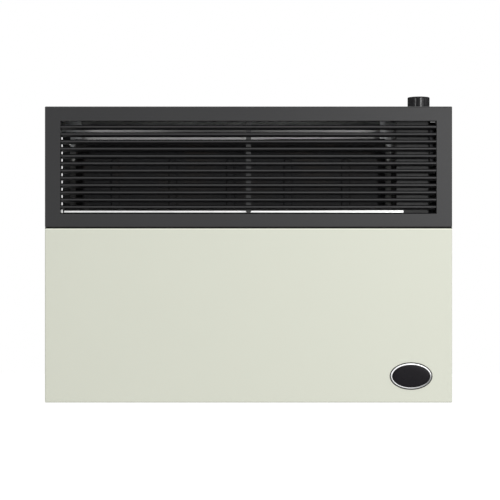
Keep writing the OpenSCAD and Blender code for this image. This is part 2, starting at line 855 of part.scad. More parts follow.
module deflector_brackets() {
    high = deflector_top_z - chassis_t;
    front = upright_front_y - chassis_t;
    color(galvanised) for (s = [-1, 1]) {
        edge = edge_x(s);
        difference() {
            union() {
                block([min(edge, edge - s * plate_in), front, chamber_top_z + 2],
                      [max(edge, edge - s * plate_in), upright_front_y, high]);
                block([min(edge, edge + s * (tab_out + 1)), front, tab_low_z],
                      [max(edge, edge + s * (tab_out + 1)), upright_front_y, high]);
                block([min(edge, edge - s * arm_in), front, high - chassis_t],
                      [max(edge, edge - s * arm_in), deflector_rear_y - deflector_r - 2, high]);
            }
            for (p = deflector_screws(s)) peg_y(p[0], front - 1, upright_front_y + 1, p[1], screw_hole_r);
        }
    }
}

// Heights of the chamber's flange screws; the lower two also hold the shield's brackets
chamber_screw_inset = 44;
chamber_screw_z = [chamber_bottom_z + 26, seam_z - 50, chamber_top_z - chamber_screw_inset];
shield_bracket_z = [chamber_screw_z[0], chamber_screw_z[1]];
shield_left_x = chamber_left_x - 1;
shield_over = 16;
shield_foot_gap = 8;
shield_lip = 9;
shield_right_x = bracket_x + shield_over;
shield_spots = [for (s = [-1, 1], z = shield_bracket_z) [edge_x(s) - s * weld_w / 2, z]];

// Bright sheet between the chamber and the front of the casing
module radiation_shield() {
    color(galvanised) difference() {
        union() {
            block([shield_left_x, shield_y, bottom_z + shield_foot_gap],
                  [shield_right_x, shield_y + chassis_t, shield_top_z]);
            block([shield_left_x, shield_y, shield_top_z - chassis_t],
                  [bracket_x - 4, shield_y + shield_lip, shield_top_z]);
        }
        for (p = shield_spots) peg_y(p[0], shield_y - 1, shield_y + chassis_t + 1, p[1], screw_hole_r);
    }
}

// Z brackets that hold the shield off the chamber flange
shield_arm_h = 9;

module shield_brackets() {
    color(galvanised) for (s = [-1, 1], z = shield_bracket_z) {
        edge = edge_x(s);
        difference() {
            union() {
                block([min(edge, edge - s * chassis_t), shield_y + chassis_t, z - shield_arm_h],
                      [max(edge, edge - s * chassis_t), weld_y - chamber_t, z + shield_arm_h]);
                block([min(edge, edge - s * weld_w), shield_y + chassis_t, z - shield_arm_h],
                      [max(edge, edge - s * weld_w), shield_y + 2 * chassis_t, z + shield_arm_h]);
                block([min(edge, edge - s * (weld_w - 1)), weld_y - chamber_t - chassis_t, z - shield_arm_h],
                      [max(edge, edge - s * (weld_w - 1)), weld_y - chamber_t, z + shield_arm_h]);
            }
            peg_y(edge - s * weld_w / 2, shield_y, weld_y, z, screw_hole_r);
        }
    }
}

// Dark cover in front of the gas valve, with a rounded right edge
control_shield_y = shield_y + chassis_t + 2;
control_shield_w = 71;
control_shield_r = 6;
control_wall_x = bracket_x + bracket_t;
control_shield_foot = 5;
control_shield_head = 17;
control_shield_low = seam_z + control_shield_foot;
control_shield_high = top_z - control_shield_head;

module control_shield() {
    right = control_wall_x + control_shield_w;
    color(charcoal) difference() {
        union() {
            translate([0, 0, control_shield_low]) linear_extrude(control_shield_high - control_shield_low) {
                translate([control_wall_x, control_shield_y])
                    square([control_shield_w - control_shield_r, casing_t]);
                translate([right - control_shield_r, control_shield_y + control_shield_r]) intersection() {
                    difference() {
                        circle(control_shield_r);
                        circle(control_shield_r - casing_t);
                    }
                    translate([0, -control_shield_r - 1]) square(control_shield_r + 1);
                }
            }
            block([control_wall_x, control_shield_y, control_shield_low],
                  [control_wall_x + casing_t, weld_y - chamber_t, valve_top_z]);
        }
        for (p = control_shield_spots)
            peg_x(control_wall_x - 1, control_wall_x + casing_t + 1, p[0], p[1], screw_hole_r);
    }
}

cover_screw_gap = 12;
control_shield_spots = [for (z = [valve_bottom_z + 4, valve_top_z - cover_screw_gap])
    [weld_y - chamber_t - cover_screw_gap, z]];

// Sheet metal screws of the chassis, each on its own seat
module chassis_screws() {
    color(steel) {
        for (p = back_screw_spots) aim([p[0], -2 * chassis_t, p[1]], [90, 0, 0]) screw(2 * chassis_t);
        for (p = rail_screw_spots)
            aim([p[0], shield_y + 3 * chassis_t, p[1]], [-90, 0, 0]) screw(2 * chassis_t);
        for (s = [-1, 1], p = deflector_screws(s))
            aim([p[0], upright_front_y - chassis_t, p[1]], [90, 0, 0]) screw(2 * chassis_t);
        for (p = bracket_spots)
            aim([bracket_x + bracket_t, p[0], p[1]], [0, 90, 0]) screw(chassis_t + bracket_t);
        for (p = valve_spots) translate([p[0], p[1], valve_top_z + bracket_t]) screw(bracket_t + 8);
        for (p = air_box_spots)
            aim([p[0], chamber_rear_y + chassis_t, p[1]], [-90, 0, 0]) screw(chassis_t + chamber_t);
        for (p = shield_spots) aim([p[0], shield_y, p[1]], [90, 0, 0]) screw(2 * chassis_t);
        for (p = control_shield_spots)
            aim([control_wall_x + casing_t, p[0], p[1]], [0, 90, 0]) screw(casing_t + bracket_t);
    }
}

// ---------------------------------------------------------------- combustion chamber

// A pressed pan, open at z = 0: drafted walls, round corners and a rolled front edge
module pressed_form(w, h, depth, draft, r, edge) {
    hull() {
        linear_extrude(eps) round_rect(w, h, r, $fn = 32);
        for (a = [0, 30, 60, 90]) {
            z = depth - edge + edge * sin(a);
            inset = draft * z / depth + edge * (1 - cos(a)) * 0.8;
            translate([0, 0, z - eps])
                linear_extrude(eps) round_rect(w - 2 * inset, h - 2 * inset, r - inset * 0.5, $fn = 32);
        }
    }
}

// Thin pan with its weld flange, opening towards +Z of the local frame
module pressed_pan() {
    wall = chamber_t * sqrt(1 + pow(press_draft / press_d, 2));
    difference() {
        union() {
            pressed_form(press_w, press_h, press_d, press_draft, press_r, press_edge_r);
            linear_extrude(chamber_t) round_rect(chamber_w, chamber_h, press_r + 4);
        }
        translate([0, 0, -eps])
            pressed_form(press_w - 2 * wall, press_h - 2 * wall, press_d - chamber_t + eps,
                press_draft * (press_d - chamber_t) / press_d, press_r - chamber_t, press_edge_r - chamber_t);
    }
}

// A rib: flat-topped bar with sloped sides and round ends, standing on z = 0
module rib(len, w, h) {
    top_w = w - 2 * h;
    rotate([90, 0, 0]) translate([0, 0, -len / 2]) linear_extrude(len)
        polygon([[-w / 2, 0], [w / 2, 0], [top_w / 2, h], [-top_w / 2, h]]);
    for (s = [-1, 1]) translate([0, s * len / 2, 0]) cylinder(r1 = w / 2, r2 = top_w / 2, h = h);
}

rib_len = rib_top_z - rib_bottom_z - rib_w;
rib_mid_z = (rib_top_z + rib_bottom_z) / 2;

module chamber_screw_holes() {
    for (s = [-1, 1], z = chamber_screw_z)
        peg_y(edge_x(s) - s * weld_w / 2, weld_y - 3 * chamber_t, weld_y + 3 * chamber_t, z, screw_hole_r);
}

module chamber_front() {
    color(enamel) difference() {
        union() {
            translate([chamber_x, weld_y, chamber_z]) rotate([90, 0, 0]) pressed_pan();
            for (x = rib_x) translate([x, chamber_face_y + eps, rib_mid_z]) rotate([90, 0, 0])
                rib(rib_len, rib_w, rib_h + eps);
        }
        for (x = rib_x) translate([x, chamber_face_y + chamber_t + eps, rib_mid_z]) rotate([90, 0, 0])
            rib(rib_len, rib_w - chamber_t, rib_h);
        facing(chamber_face_y - 1, chamber_t + 2) translate([door_x, door_z])
            round_rect(door_w - 2 * door_border, door_h - 2 * door_border, 4);
        for (p = door_screw_spots)
            peg_y(p[0], chamber_face_y - 1, chamber_face_y + chamber_t + 1, p[1], screw_hole_r);
        chamber_screw_holes();
    }
}

// Box behind the chamber that leads fresh air from the collar down to the burner
air_port_h = 30;
air_box_border = 22;
air_box_gap = 14;
air_box_flange = 10;
air_box_screw_inset = 20;
air_box_screw_rise = 110;
air_port_z = burner_z + air_port_h;
air_box_w = 2 * (intake_r + air_box_border);
air_box_top_z = flue_z + intake_r + air_box_border;
air_box_bottom_z = air_port_z - air_port_h;
air_box_rear_y = -air_box_gap;
air_box_screw_z = [air_box_bottom_z + air_box_screw_inset, air_port_z + air_box_screw_rise,
    air_box_top_z - air_box_screw_inset];
air_box_spots = [for (s = [-1, 1], z = air_box_screw_z)
    [chamber_x + s * (air_box_w + air_box_flange) / 2, z]];

module chamber_back() {
    color(enamel) difference() {
        translate([chamber_x, weld_y, chamber_z]) mirror([0, 1, 0]) rotate([90, 0, 0]) pressed_pan();
        peg_y(chamber_x, chamber_rear_y - chamber_t - 1, chamber_rear_y + 1, flue_z, exhaust_r + 0.2);
        facing(chamber_rear_y - chamber_t - 1, chamber_t + 2) translate([chamber_x, air_port_z])
            round_rect(air_box_w - 50, air_port_h, 4);
        for (p = air_box_spots)
            peg_y(p[0], chamber_rear_y - chamber_t - 1, chamber_rear_y + 1, p[1], screw_hole_r);
        chamber_screw_holes();
    }
}

module chamber_screws() {
    color(steel) for (s = [-1, 1], z = chamber_screw_z) {
        washer = z == chamber_screw_z[2] ? 0 : chassis_t;
        aim([edge_x(s) - s * weld_w / 2, weld_y - chamber_t - washer, z], [90, 0, 0])
            screw(2 * chamber_t + washer + chassis_t + 2);
    }
}

module air_box() {
    h = air_box_top_z - air_box_bottom_z;
    mid = (air_box_top_z + air_box_bottom_z) / 2;
    deep = air_box_rear_y - chamber_rear_y;
    color(galvanised) difference() {
        union() {
            facing(chamber_rear_y, deep) translate([chamber_x, mid])
                round_rect(air_box_w, h, 12);
            facing(chamber_rear_y, chassis_t) translate([chamber_x, mid])
                round_rect(air_box_w + 2 * air_box_flange, h + 2 * air_box_flange, 14);
        }
        facing(chamber_rear_y - 1, deep - chassis_t + 1) translate([chamber_x, mid])
            round_rect(air_box_w - 2 * chassis_t, h - 2 * chassis_t, 12 - chassis_t);
        peg_y(chamber_x, air_box_rear_y - 5, 0, flue_z, intake_r - collar_t);
        for (p = air_box_spots)
            peg_y(p[0], chamber_rear_y - 1, chamber_rear_y + chassis_t + 1, p[1], screw_hole_r);
    }
}

module exhaust_collar() {
    color(steel) translate([chamber_x, 0, flue_z]) rotate([-90, 0, 0]) rotate_extrude() {
        translate([exhaust_r - collar_t, chamber_rear_y - chamber_t])
            square([collar_t, -2 - chamber_rear_y + chamber_t]);
        translate([exhaust_r - collar_t, chamber_rear_y]) square([11 + collar_t, 1.5]);
    }
}

module intake_collar() {
    color(galvanised) translate([chamber_x, 0, flue_z]) rotate([-90, 0, 0]) rotate_extrude() {
        translate([intake_r - collar_t, air_box_rear_y]) square([collar_t, -1.5 - air_box_rear_y]);
        translate([intake_r - collar_t, air_box_rear_y]) square([9 + collar_t, collar_t]);
    }
}

// Baffle that keeps the hot gas away from the exhaust opening, on two legs
baffle_over = 100;
baffle_gap = 12;
baffle_w = 2 * (exhaust_r + baffle_over);
baffle_h = 150;
baffle_y = weld_y + baffle_gap;

module flue_baffle() {
    rear = chamber_rear_y - chamber_t;
    color(steel) {
        block([chamber_x - baffle_w / 2, baffle_y, flue_z - baffle_h / 2],
              [chamber_x + baffle_w / 2, baffle_y + chassis_t, flue_z + baffle_h / 2]);
        for (s = [-1, 1]) block([chamber_x + s * (baffle_w / 2 - 1) - 1, baffle_y, flue_z - baffle_h / 2],
              [chamber_x + s * (baffle_w / 2 - 1) + 1, rear, flue_z + baffle_h / 2]);
    }
}

// ---------------------------------------------------------------- burner

port_inset = 20;
port_w = 1.4;
port_pitch = (burner_right_x - burner_left_x - 2 * port_inset) / (port_count - 1);

module burner_tube() {
    color(steel) difference() {
        peg_x(burner_left_x, burner_right_x, burner_y, burner_z, burner_r);
        peg_x(burner_left_x - 1, burner_right_x + 1, burner_y, burner_z, burner_r - burner_t);
        for (i = [0 : port_count - 1])
            translate([burner_left_x + port_inset + i * port_pitch, burner_y, burner_z + burner_r])
                cube([port_w, 12, 10], center = true);
    }
}

module burner_end_cap() {
    color(steel) {
        peg_x(burner_left_x - 1.5, burner_left_x, burner_y, burner_z, burner_r);
        peg_x(burner_left_x, burner_left_x + 6, burner_y, burner_z, burner_r - burner_t - 0.05);
    }
}

// Bell mouth that draws air in round the injector
module burner_venturi() {
    throat = burner_r - burner_t - 3;
    bell = burner_r - 1;
    color(steel) translate([burner_right_x, burner_y, burner_z]) rotate([0, 90, 0]) rotate_extrude()
        polygon([
            [throat - 1.5, -8], [burner_r - burner_t - 0.05, -8], [burner_r - burner_t - 0.05, 0],
            [burner_r, 0], [burner_r, 1.5], [throat, 1.5], [throat, venturi_len - 6],
            [bell, venturi_len], [bell - 1.5, venturi_len], [throat - 1.5, venturi_len - 6]
        ]);
}

// Plates that hold the burner off the rear wall of the chamber
saddle_inset = 60;
saddle_rim = 4;
saddle_foot_w = 14;

module burner_saddles() {
    rear = chamber_rear_y - chamber_t;
    low = burner_z - burner_r - saddle_rim;
    high = burner_z + saddle_rim;
    color(steel) for (x = [burner_left_x + saddle_inset, burner_right_x - saddle_inset]) difference() {
        union() {
            block([x - 1, burner_y - burner_r - saddle_rim - 1, low], [x + 1, rear, high]);
            block([x - 1, rear - 1.5, low], [x + saddle_foot_w, rear, high]);
        }
        peg_x(x - 3, x + 3, burner_y, burner_z, burner_r);
        block([x - 3, burner_y - burner_r, burner_z], [x + 3, burner_y + burner_r, burner_z + 20]);
    }
}

door_screw_spots = concat(
    [for (x = [-1, -1 / 3, 1 / 3, 1], s = [-1, 1])
        [door_x + x * (door_w - door_border) / 2, door_z + s * (door_h - door_border) / 2]],
    [for (s = [-1, 1]) [door_x + s * (door_w - door_border) / 2, door_z]]
);

module door_ring(y, depth) {
    facing(y, depth) translate([door_x, door_z]) difference() {
        round_rect(door_w, door_h, 8);
        round_rect(door_w - 2 * door_border, door_h - 2 * door_border, 4);
    }
}

// Each line through the door: x, z and the radius of its hole
door_lines = [
    [injector_x, burner_z, feed_r + 1],
    [pilot_x, gland_z, 2.1],
    [pilot_x - pilot_step, gland_z, 1.7],
    [pilot_x + pilot_step, gland_z, 2.6]
];

module burner_door() {
    color(enamel) difference() {
        facing(door_y, door_t) translate([door_x, door_z]) round_rect(door_w, door_h, 8);
        for (l = door_lines) peg_y(l[0], door_y - 1, gasket_y + 1, l[1], l[2] + 0.05);
        peg_y(window_port_x, door_y - 1, gasket_y + 1, door_z, window_port_r);
        for (p = door_screw_spots) peg_y(p[0], door_y - 1, gasket_y + 1, p[1], screw_hole_r);
    }
}

module door_gasket() {
    color(gasket_grey) difference() {
        door_ring(gasket_y, gasket_t);
        for (p = door_screw_spots) peg_y(p[0], gasket_y - 1, chamber_face_y + 1, p[1], screw_hole_r);
    }
}

module door_screws() {
    color(steel) for (p = door_screw_spots) {
        peg_y(p[0], door_y - 3, door_y, p[1], 3.6);
        peg_y(p[0], door_y - eps, chamber_face_y + chamber_t + 3, p[1], screw_r);
    }
}

module sight_glass() {
    color([0.85, 0.75, 0.55, 0.5]) peg_y(window_port_x, door_y - 1, door_y, door_z, window_port_r + 4);
}

module sight_glass_ring() {
    color(steel) translate([window_port_x, door_y, door_z]) rotate([90, 0, 0]) rotate_extrude() {
        translate([window_port_r - 1, 1]) square([9, 1.5]);
        translate([window_port_r + 4.2, 0]) square([3.8, 1.2]);
    }
}

// Brass elbow with the main injector, from the door to the venturi
nozzle_x = burner_right_x + venturi_len + 4;

module injector_elbow() {
    color(brass) {
        peg_y(injector_x, door_y - 10, burner_y, burner_z, feed_r + 1);
        translate([injector_x, burner_y, burner_z]) sphere(r = feed_r + 3);
        difference() {
            peg_x(nozzle_x, injector_x, burner_y, burner_z, feed_r);
            peg_x(nozzle_x - 1, nozzle_x + 6, burner_y, burner_z, 0.8);
        }
    }
}

module pilot_bracket() {
    left = pilot_x - pilot_step * 1.5;
    right = pilot_x + pilot_step * 1.5;
    color(steel) difference() {
        union() {
            block([left, gasket_y, pilot_shelf_z], [right, pilot_y + 8, pilot_shelf_z + shelf_t]);
            block([left, gasket_y, pilot_shelf_z], [right, gasket_y + shelf_t, pilot_shelf_z + 12]);
        }
        translate([pilot_x, pilot_y, pilot_shelf_z - 1]) cylinder(r = 2.05, h = 4);
        translate([pilot_x - pilot_step, pilot_y, pilot_shelf_z - 1]) cylinder(r = 2.3, h = 4);
        translate([pilot_x + pilot_step, pilot_y, pilot_shelf_z - 1]) cylinder(r = 3.6, h = 4);
    }
}

// Pilot hood: a small tower with flame windows
module pilot_burner() {
    base = pilot_shelf_z + shelf_t;
    color(steel) translate([pilot_x, pilot_y, base]) difference() {
        union() {
            cylinder(r = 5.5, h = 6, $fn = 6);
            cylinder(r = 4.2, h = 22);
        }
        translate([0, 0, -1]) cylinder(r = 1.2, h = 16);
        translate([0, 0, 12]) cylinder(r = 3.2, h = 8);
        for (a = [0, 90, 180]) rotate(a) translate([4, 0, 16]) cube([5, 2.6, 5], center = true);
    }
}

// Bent round rod or pipe through a list of points, with true round bends
module pipe(points, r, bend) {
    last = len(points) - 1;
    for (i = [0 : last - 1]) {
        a = points[i];
        b = points[i + 1];
        u = unit(b - a);
        start = i == 0 ? a : a + u * bend_cut(points, i, bend);
        end = i == last - 1 ? b : b - u * bend_cut(points, i + 1, bend);
        rod(start, end, r);
    }
    for (i = [1 : last - 1]) if (turn_angle(points, i) > 0.5) elbow(points, i, r, bend);
}

function unit(v) = v / norm(v);
function turn_angle(p, i) = acos(min(1, max(-1, unit(p[i] - p[i - 1]) * unit(p[i + 1] - p[i]))));
function bend_cut(p, i, bend) = bend * tan(turn_angle(p, i) / 2);

// Round rod between two points
module rod(a, b, r) {
    d = b - a;
    translate(a) rotate([0, acos(d[2] / norm(d)), atan2(d[1], d[0])]) cylinder(r = r, h = norm(d));
}

// Round bend at point i
module elbow(p, i, r, bend) {
    u = unit(p[i] - p[i - 1]);
    v = unit(p[i + 1] - p[i]);
    angle = turn_angle(p, i);
    middle = p[i] + unit(v - u) * bend / cos(angle / 2);
    x = unit(p[i] - u * bend_cut(p, i, bend) - middle);
    z = cross(x, u);
    multmatrix([[x[0], u[0], z[0], middle[0]], [x[1], u[1], z[1], middle[1]], [x[2], u[2], z[2], middle[2]],
                [0, 0, 0, 1]])
        rotate_extrude(angle = angle) translate([bend, 0]) circle(r, $fn = 24);
}

module thermocouple() {
    x = pilot_x - pilot_step;
    color(copper) {
        pipe([[thermo_port[0], line_y, valve_bottom_z],
              [thermo_port[0], line_y, thermo_level],
              [x, line_y, thermo_level],
              [x, line_y, gland_z],
              [x, pilot_y, gland_z],
              [x, pilot_y, pilot_shelf_z + 3]], 1.6, 8);
        translate([x, pilot_y, pilot_shelf_z + 3 - eps]) cylinder(r = 2.2, h = 20);
    }
}

module pilot_pipe() {
    color(copper) pipe([[pilot_port[0], line_y, valve_bottom_z],
              [pilot_port[0], line_y, pilot_level],
              [pilot_x, line_y, pilot_level],
              [pilot_x, line_y, gland_z],
              [pilot_x, pilot_y, gland_z],
              [pilot_x, pilot_y, pilot_shelf_z + shelf_t]], 2, 8);
}

module spark_electrode() {
    x = pilot_x + pilot_step;
    color(ceramic) {
        translate([x, pilot_y, gland_z + 3]) cylinder(r = 3.5, h = 22);
        peg_y(x, door_y - 12, pilot_y, gland_z, 2.5);
        translate([x, pilot_y, gland_z]) sphere(r = 2.5);
        translate([x, pilot_y, gland_z]) cylinder(r = 2.5, h = 4);
        pipe([[x, pilot_y, gland_z + 24], [x, pilot_y, gland_z + 32],
              [pilot_x + 7, pilot_y, gland_z + 32]], 0.8, 2.5);
    }
}

module igniter_lead() {
    x = pilot_x + pilot_step;
    color([0.75, 0.2, 0.15]) pipe([[knob_x, button_y, barrel_bottom_z],
              [knob_x, button_y, valve_bottom_z - 20],
              [knob_x, line_y, valve_bottom_z - 20],
              [knob_x, line_y, lead_level],
              [x, line_y, lead_level],
              [x, line_y, gland_z],
              [x, door_y - 12, gland_z]], 2.2, 7);
}

module burner_feed_pipe() {
    color(copper) pipe([[feed_port[0], line_y, valve_bottom_z],
              [feed_port[0], line_y, burner_z],
              [injector_x, line_y, burner_z],
              [injector_x, door_y - 10, burner_z]], feed_r, feed_r + 5);
}

module supply_pipe() {
    color(steel) pipe([[inlet_x, inlet_y, inlet_top_z + inlet_nut_h],
              [inlet_x, inlet_y, flue_z - 20],
              [inlet_x, supply_port[1], flue_z - 20],
              [inlet_x, supply_port[1], valve_bottom_z]], supply_r, 22);
}

// Hexagon nuts under the valve and at the door: port, pipe radius, nut radius and height
valve_glands = [[thermo_port, 1.6, 5, 8], [pilot_port, 2, 5, 8],
    [feed_port, feed_r, 9, 10], [supply_port, supply_r, 10, 10]];

module gland_nuts() {
    color(brass) {
        for (n = valve_glands)
            translate([n[0][0], n[0][1], valve_bottom_z - n[3]]) difference() {
                cylinder(r = n[2], h = n[3], $fn = 6);
                translate([0, 0, -1]) cylinder(r = n[1] + 0.02, h = n[3] + 2);
            }
        for (n = [[pilot_x, 2], [pilot_x - pilot_step, 1.6]])
            translate([n[0], door_y, gland_z]) rotate([90, 0, 0]) difference() {
                cylinder(r = 5, h = 8, $fn = 6);
                translate([0, 0, -1]) cylinder(r = n[1] + 0.02, h = 10);
            }
    }
}

// ---------------------------------------------------------------- gas valve and controls

valve_screw_inset = 8;
valve_spots = [for (sx = [-1, 1], sy = [-1, 1])
    [knob_x + sx * (valve_w / 2 - valve_screw_inset), valve_y + sy * (valve_d / 2 - valve_screw_inset)]];

module gas_valve_body() {
    color(castmetal) difference() {
        union() {
            translate([knob_x, valve_y, valve_bottom_z]) linear_extrude(valve_h)
                round_rect(valve_w, valve_d, 9);
            translate([knob_x, knob_y, valve_top_z]) cylinder(r = turret_r, h = turret_top_z - valve_top_z);
            // magnet unit on the right, regulator cap in front
            peg_x(valve_right_x - 1, valve_right_x + 16, valve_y, valve_bottom_z + 24, 12);
            peg_y(knob_x, valve_y - valve_d / 2 - 5, valve_y, valve_bottom_z + 40, 13);
        }
        translate([knob_x, knob_y, sleeve_bottom_z]) cylinder(r = sleeve_r + sleeve_gap, h = 40);
        translate([knob_x, knob_y, sleeve_bottom_z - 3]) cylinder(r = plunger_r + 1, h = 10);
        peg_y(knob_x, valve_y - valve_d / 2 - 6, valve_y - valve_d / 2 - 2, valve_bottom_z + 40, 9);
        for (p = valve_spots) translate([p[0], p[1], valve_top_z - 9]) cylinder(r = screw_r + 0.05, h = 10);
        // mould recesses in the block's sides
        for (s = [-1, 1]) translate([knob_x + s * valve_w / 2, valve_y, valve_bottom_z + 52])
            cube([6, valve_d - 30, 12], center = true);
    }
}

module valve_bracket() {
    high = valve_top_z + bracket_t;
    rear = -30;
    color(charcoal) difference() {
        union() {
            block([bracket_x, control_shield_y + 4, valve_bottom_z - 4], [bracket_x + bracket_t, rear, high]);
            block([bracket_x, valve_y - valve_d / 2 + 2, valve_top_z],
                  [valve_right_x + 6, button_y + 2 * barrel_r, high]);
        }
        translate([knob_x, knob_y, valve_top_z - 1]) cylinder(r = turret_r + 0.3, h = bracket_t + 2);
        translate([knob_x, button_y, valve_top_z - 1])
            cylinder(r = barrel_r + barrel_clear, h = bracket_t + 2);
        for (p = concat(control_shield_spots, bracket_spots))
            peg_x(bracket_x - 1, bracket_x + bracket_t + 1, p[0], p[1], screw_hole_r);
        for (p = valve_spots) translate([p[0], p[1], valve_top_z - 1])
            cylinder(r = screw_hole_r, h = bracket_t + 2);
    }
}

// Sleeve that turns with the knob and sets the temperature
module control_sleeve() {
    tall = sleeve_top_z - sleeve_bottom_z;
    color(plastic) translate([knob_x, knob_y, sleeve_bottom_z]) difference() {
        cylinder(r = sleeve_r, h = tall);
        translate([0, 0, -1]) cylinder(r = sleeve_bore_r, h = tall + 2);
        translate([-key_w / 2 - key_gap, -sleeve_bore_r - key_w, -1])
            cube([key_w + 2 * key_gap, sleeve_bore_r + key_w, tall + 2]);
    }
}

// Plunger keyed to the sleeve: the knob sits on its stem
module control_plunger() {
    color(steel) translate([knob_x, knob_y, 0]) {
        translate([0, 0, plunger_bottom_z]) cylinder(r = plunger_r, h = boss_bottom_z - plunger_bottom_z);
        translate([0, 0, boss_bottom_z - eps]) cylinder(r = stem_r, h = stem_top_z - boss_bottom_z);
        translate([-key_w / 2, -plunger_r - key_w + 0.4, plunger_bottom_z]) cube([key_w, plunger_r, key_len]);
    }
}

// Fluted knob; its smooth pointer block is turned a little to the left of the front
pointer_turn = 9;
pointer_half = 17;
flute_r = 0.95;

module control_knob() {
    color(plastic) translate([knob_x, knob_y, 0]) {
        difference() {
            union() {
                translate([0, 0, knob_bottom_z]) linear_extrude(knob_rise + knob_skirt - 2) knob_outline();
                translate([0, 0, knob_top_z - 2]) rotate_extrude() union() {
                    square([knob_r - 2.6, 2]);
                    translate([knob_r - 2.6, 0]) circle(2);
                }
            }
            translate([0, 0, knob_bottom_z - 3])
                cylinder(r = knob_r - knob_wall, h = knob_rise + knob_skirt - 1);
        }
        difference() {
            translate([0, 0, boss_bottom_z]) cylinder(r = boss_r, h = knob_top_z - boss_bottom_z - 2);
            translate([0, 0, boss_bottom_z - 1])
                cylinder(r = stem_r + stem_gap, h = stem_top_z - boss_bottom_z + 1.3);
        }
        for (a = [0, 90, 180, 270]) rotate(a)
            translate([boss_r - 1, -1, knob_bottom_z + 12])
                cube([knob_r - knob_wall - boss_r + 2, 2, knob_top_z - knob_bottom_z - 14]);
    }
}

module knob_outline() {
    difference() {
        circle(knob_r);
        for (i = [0 : knob_flutes - 1]) {
            a = i * 360 / knob_flutes;
            if (abs(a - 270 + pointer_turn) > pointer_half)
                rotate(a) translate([knob_r + 0.2, 0]) circle(flute_r, $fn = 16);
        }
    }
}

module igniter_body() {
    color(plastic) translate([knob_x, button_y, 0]) difference() {
        union() {
            translate([0, 0, barrel_bottom_z]) cylinder(r = barrel_r, h = barrel_top_z - barrel_bottom_z);
            translate([0, 0, valve_top_z + bracket_t]) cylinder(r = barrel_r + 3.5, h = 3);
            // snap lugs under the shelf
            for (s = [-1, 1])
                translate([s * barrel_r, 0, valve_top_z - 1.5]) cube([3, 5, 3], center = true);
        }
        translate([0, 0, button_seat_z]) cylinder(r = button_r + button_bore_gap, h = 60);
    }
}

module igniter_button() {
    color([0.75, 0.75, 0.76]) translate([knob_x, button_y, 0]) {
        translate([0, 0, button_bottom_z])
            cylinder(r = button_r, h = top_z + button_rise - 1 - button_bottom_z);
        translate([0, 0, top_z + button_rise - 1]) cylinder(r1 = button_r, r2 = button_r - 1, h = 1);
    }
}

// ---------------------------------------------------------------- gas inlet and thermostat

module gas_inlet_fitting() {
    color(brass) translate([inlet_x, inlet_y, 0]) difference() {
        union() {
            translate([0, 0, inlet_top_z - inlet_len]) cylinder(r = inlet_r, h = inlet_len);
            translate([0, 0, inlet_top_z - chassis_t]) cylinder(r = inlet_shoulder_r, h = chassis_t);
            translate([0, 0, inlet_top_z]) cylinder(r = inlet_r + 3, h = inlet_nut_h, $fn = 6);
        }
        translate([0, 0, inlet_top_z - inlet_len - 1])
            cylinder(r = supply_r - 1, h = inlet_len + inlet_nut_h + 2);
    }
}

bulb_r = 4;
bulb_len = 84;
bulb_x = arm_x - chassis_t - bulb_r - 1.3;
bulb_z = rail_top_z - 8;
bulb_gap = 34;
bulb_y0 = shield_y + bulb_gap;

module thermostat_bulb() {
    x = arm_x + 12;
    y = bulb_y0 - 14;
    top = valve_bottom_z + 52;
    color(copper) {
        peg_y(bulb_x, bulb_y0, bulb_y0 + bulb_len, bulb_z, bulb_r);
        pipe([[bulb_x, bulb_y0 + 1, bulb_z], [bulb_x, y, bulb_z], [bulb_x, y, bulb_z + 24],
              [x, y, bulb_z + 24], [x, y, top], [x, valve_y, top], [valve_right_x - 3, valve_y, top]], 1, 4);
    }
}

module bulb_clips() {
    wall = arm_x - chassis_t;
    color(steel) for (y = [bulb_y0 + 16, bulb_y0 + bulb_len - 16]) difference() {
        union() {
            peg_y(bulb_x, y - 4, y + 4, bulb_z, bulb_r + 1);
            block([bulb_x, y - 4, bulb_z + bulb_r - 1], [wall, y + 4, bulb_z + bulb_r + 1]);
            block([wall - 1, y - 4, bulb_z - 7], [wall, y + 4, bulb_z + bulb_r + 1]);
        }
        peg_y(bulb_x, y - 5, y + 5, bulb_z, bulb_r + 0.05);
    }
}

// ---------------------------------------------------------------- assembly

upper_casing();
lower_casing();
seam_screws();
casing_foot_fixings();
louvre_blades();
louvre_carrier_left();
louvre_carrier_right();
louvre_strap();
louvre_fixings();
badge_rim_ring();
badge_plate();
back_plate();
left_upright();
right_upright();
base_rail();
base_arms();
inlet_bracket();
casing_hooks();
top_deflector();
deflector_brackets();
radiation_shield();
shield_brackets();
control_shield();
chassis_screws();
chamber_front();
chamber_back();
chamber_screws();
air_box();
exhaust_collar();
intake_collar();
flue_baffle();
burner_tube();
burner_end_cap();
burner_venturi();
burner_saddles();
burner_door();
door_gasket();
door_screws();
sight_glass();
sight_glass_ring();
injector_elbow();
pilot_bracket();
pilot_burner();
thermocouple();
spark_electrode();
gas_valve_body();
valve_bracket();
control_sleeve();
control_plunger();
control_knob();
gas_inlet_fitting();
supply_pipe();
burner_feed_pipe();
pilot_pipe();
gland_nuts();
thermostat_bulb();
bulb_clips();
igniter_body();
igniter_button();
igniter_lead();
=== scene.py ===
"""Looks of a wall mounted gas heater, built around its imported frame.

X runs to the viewer's right, Y back into the wall and Z up, so the casing's front is at negative Y.
Lengths are written in millimetres, and MM turns them into metres.
"""

import json
import logging
import math
from dataclasses import dataclass
from enum import Enum
from typing import Callable, NamedTuple, Protocol, Sequence

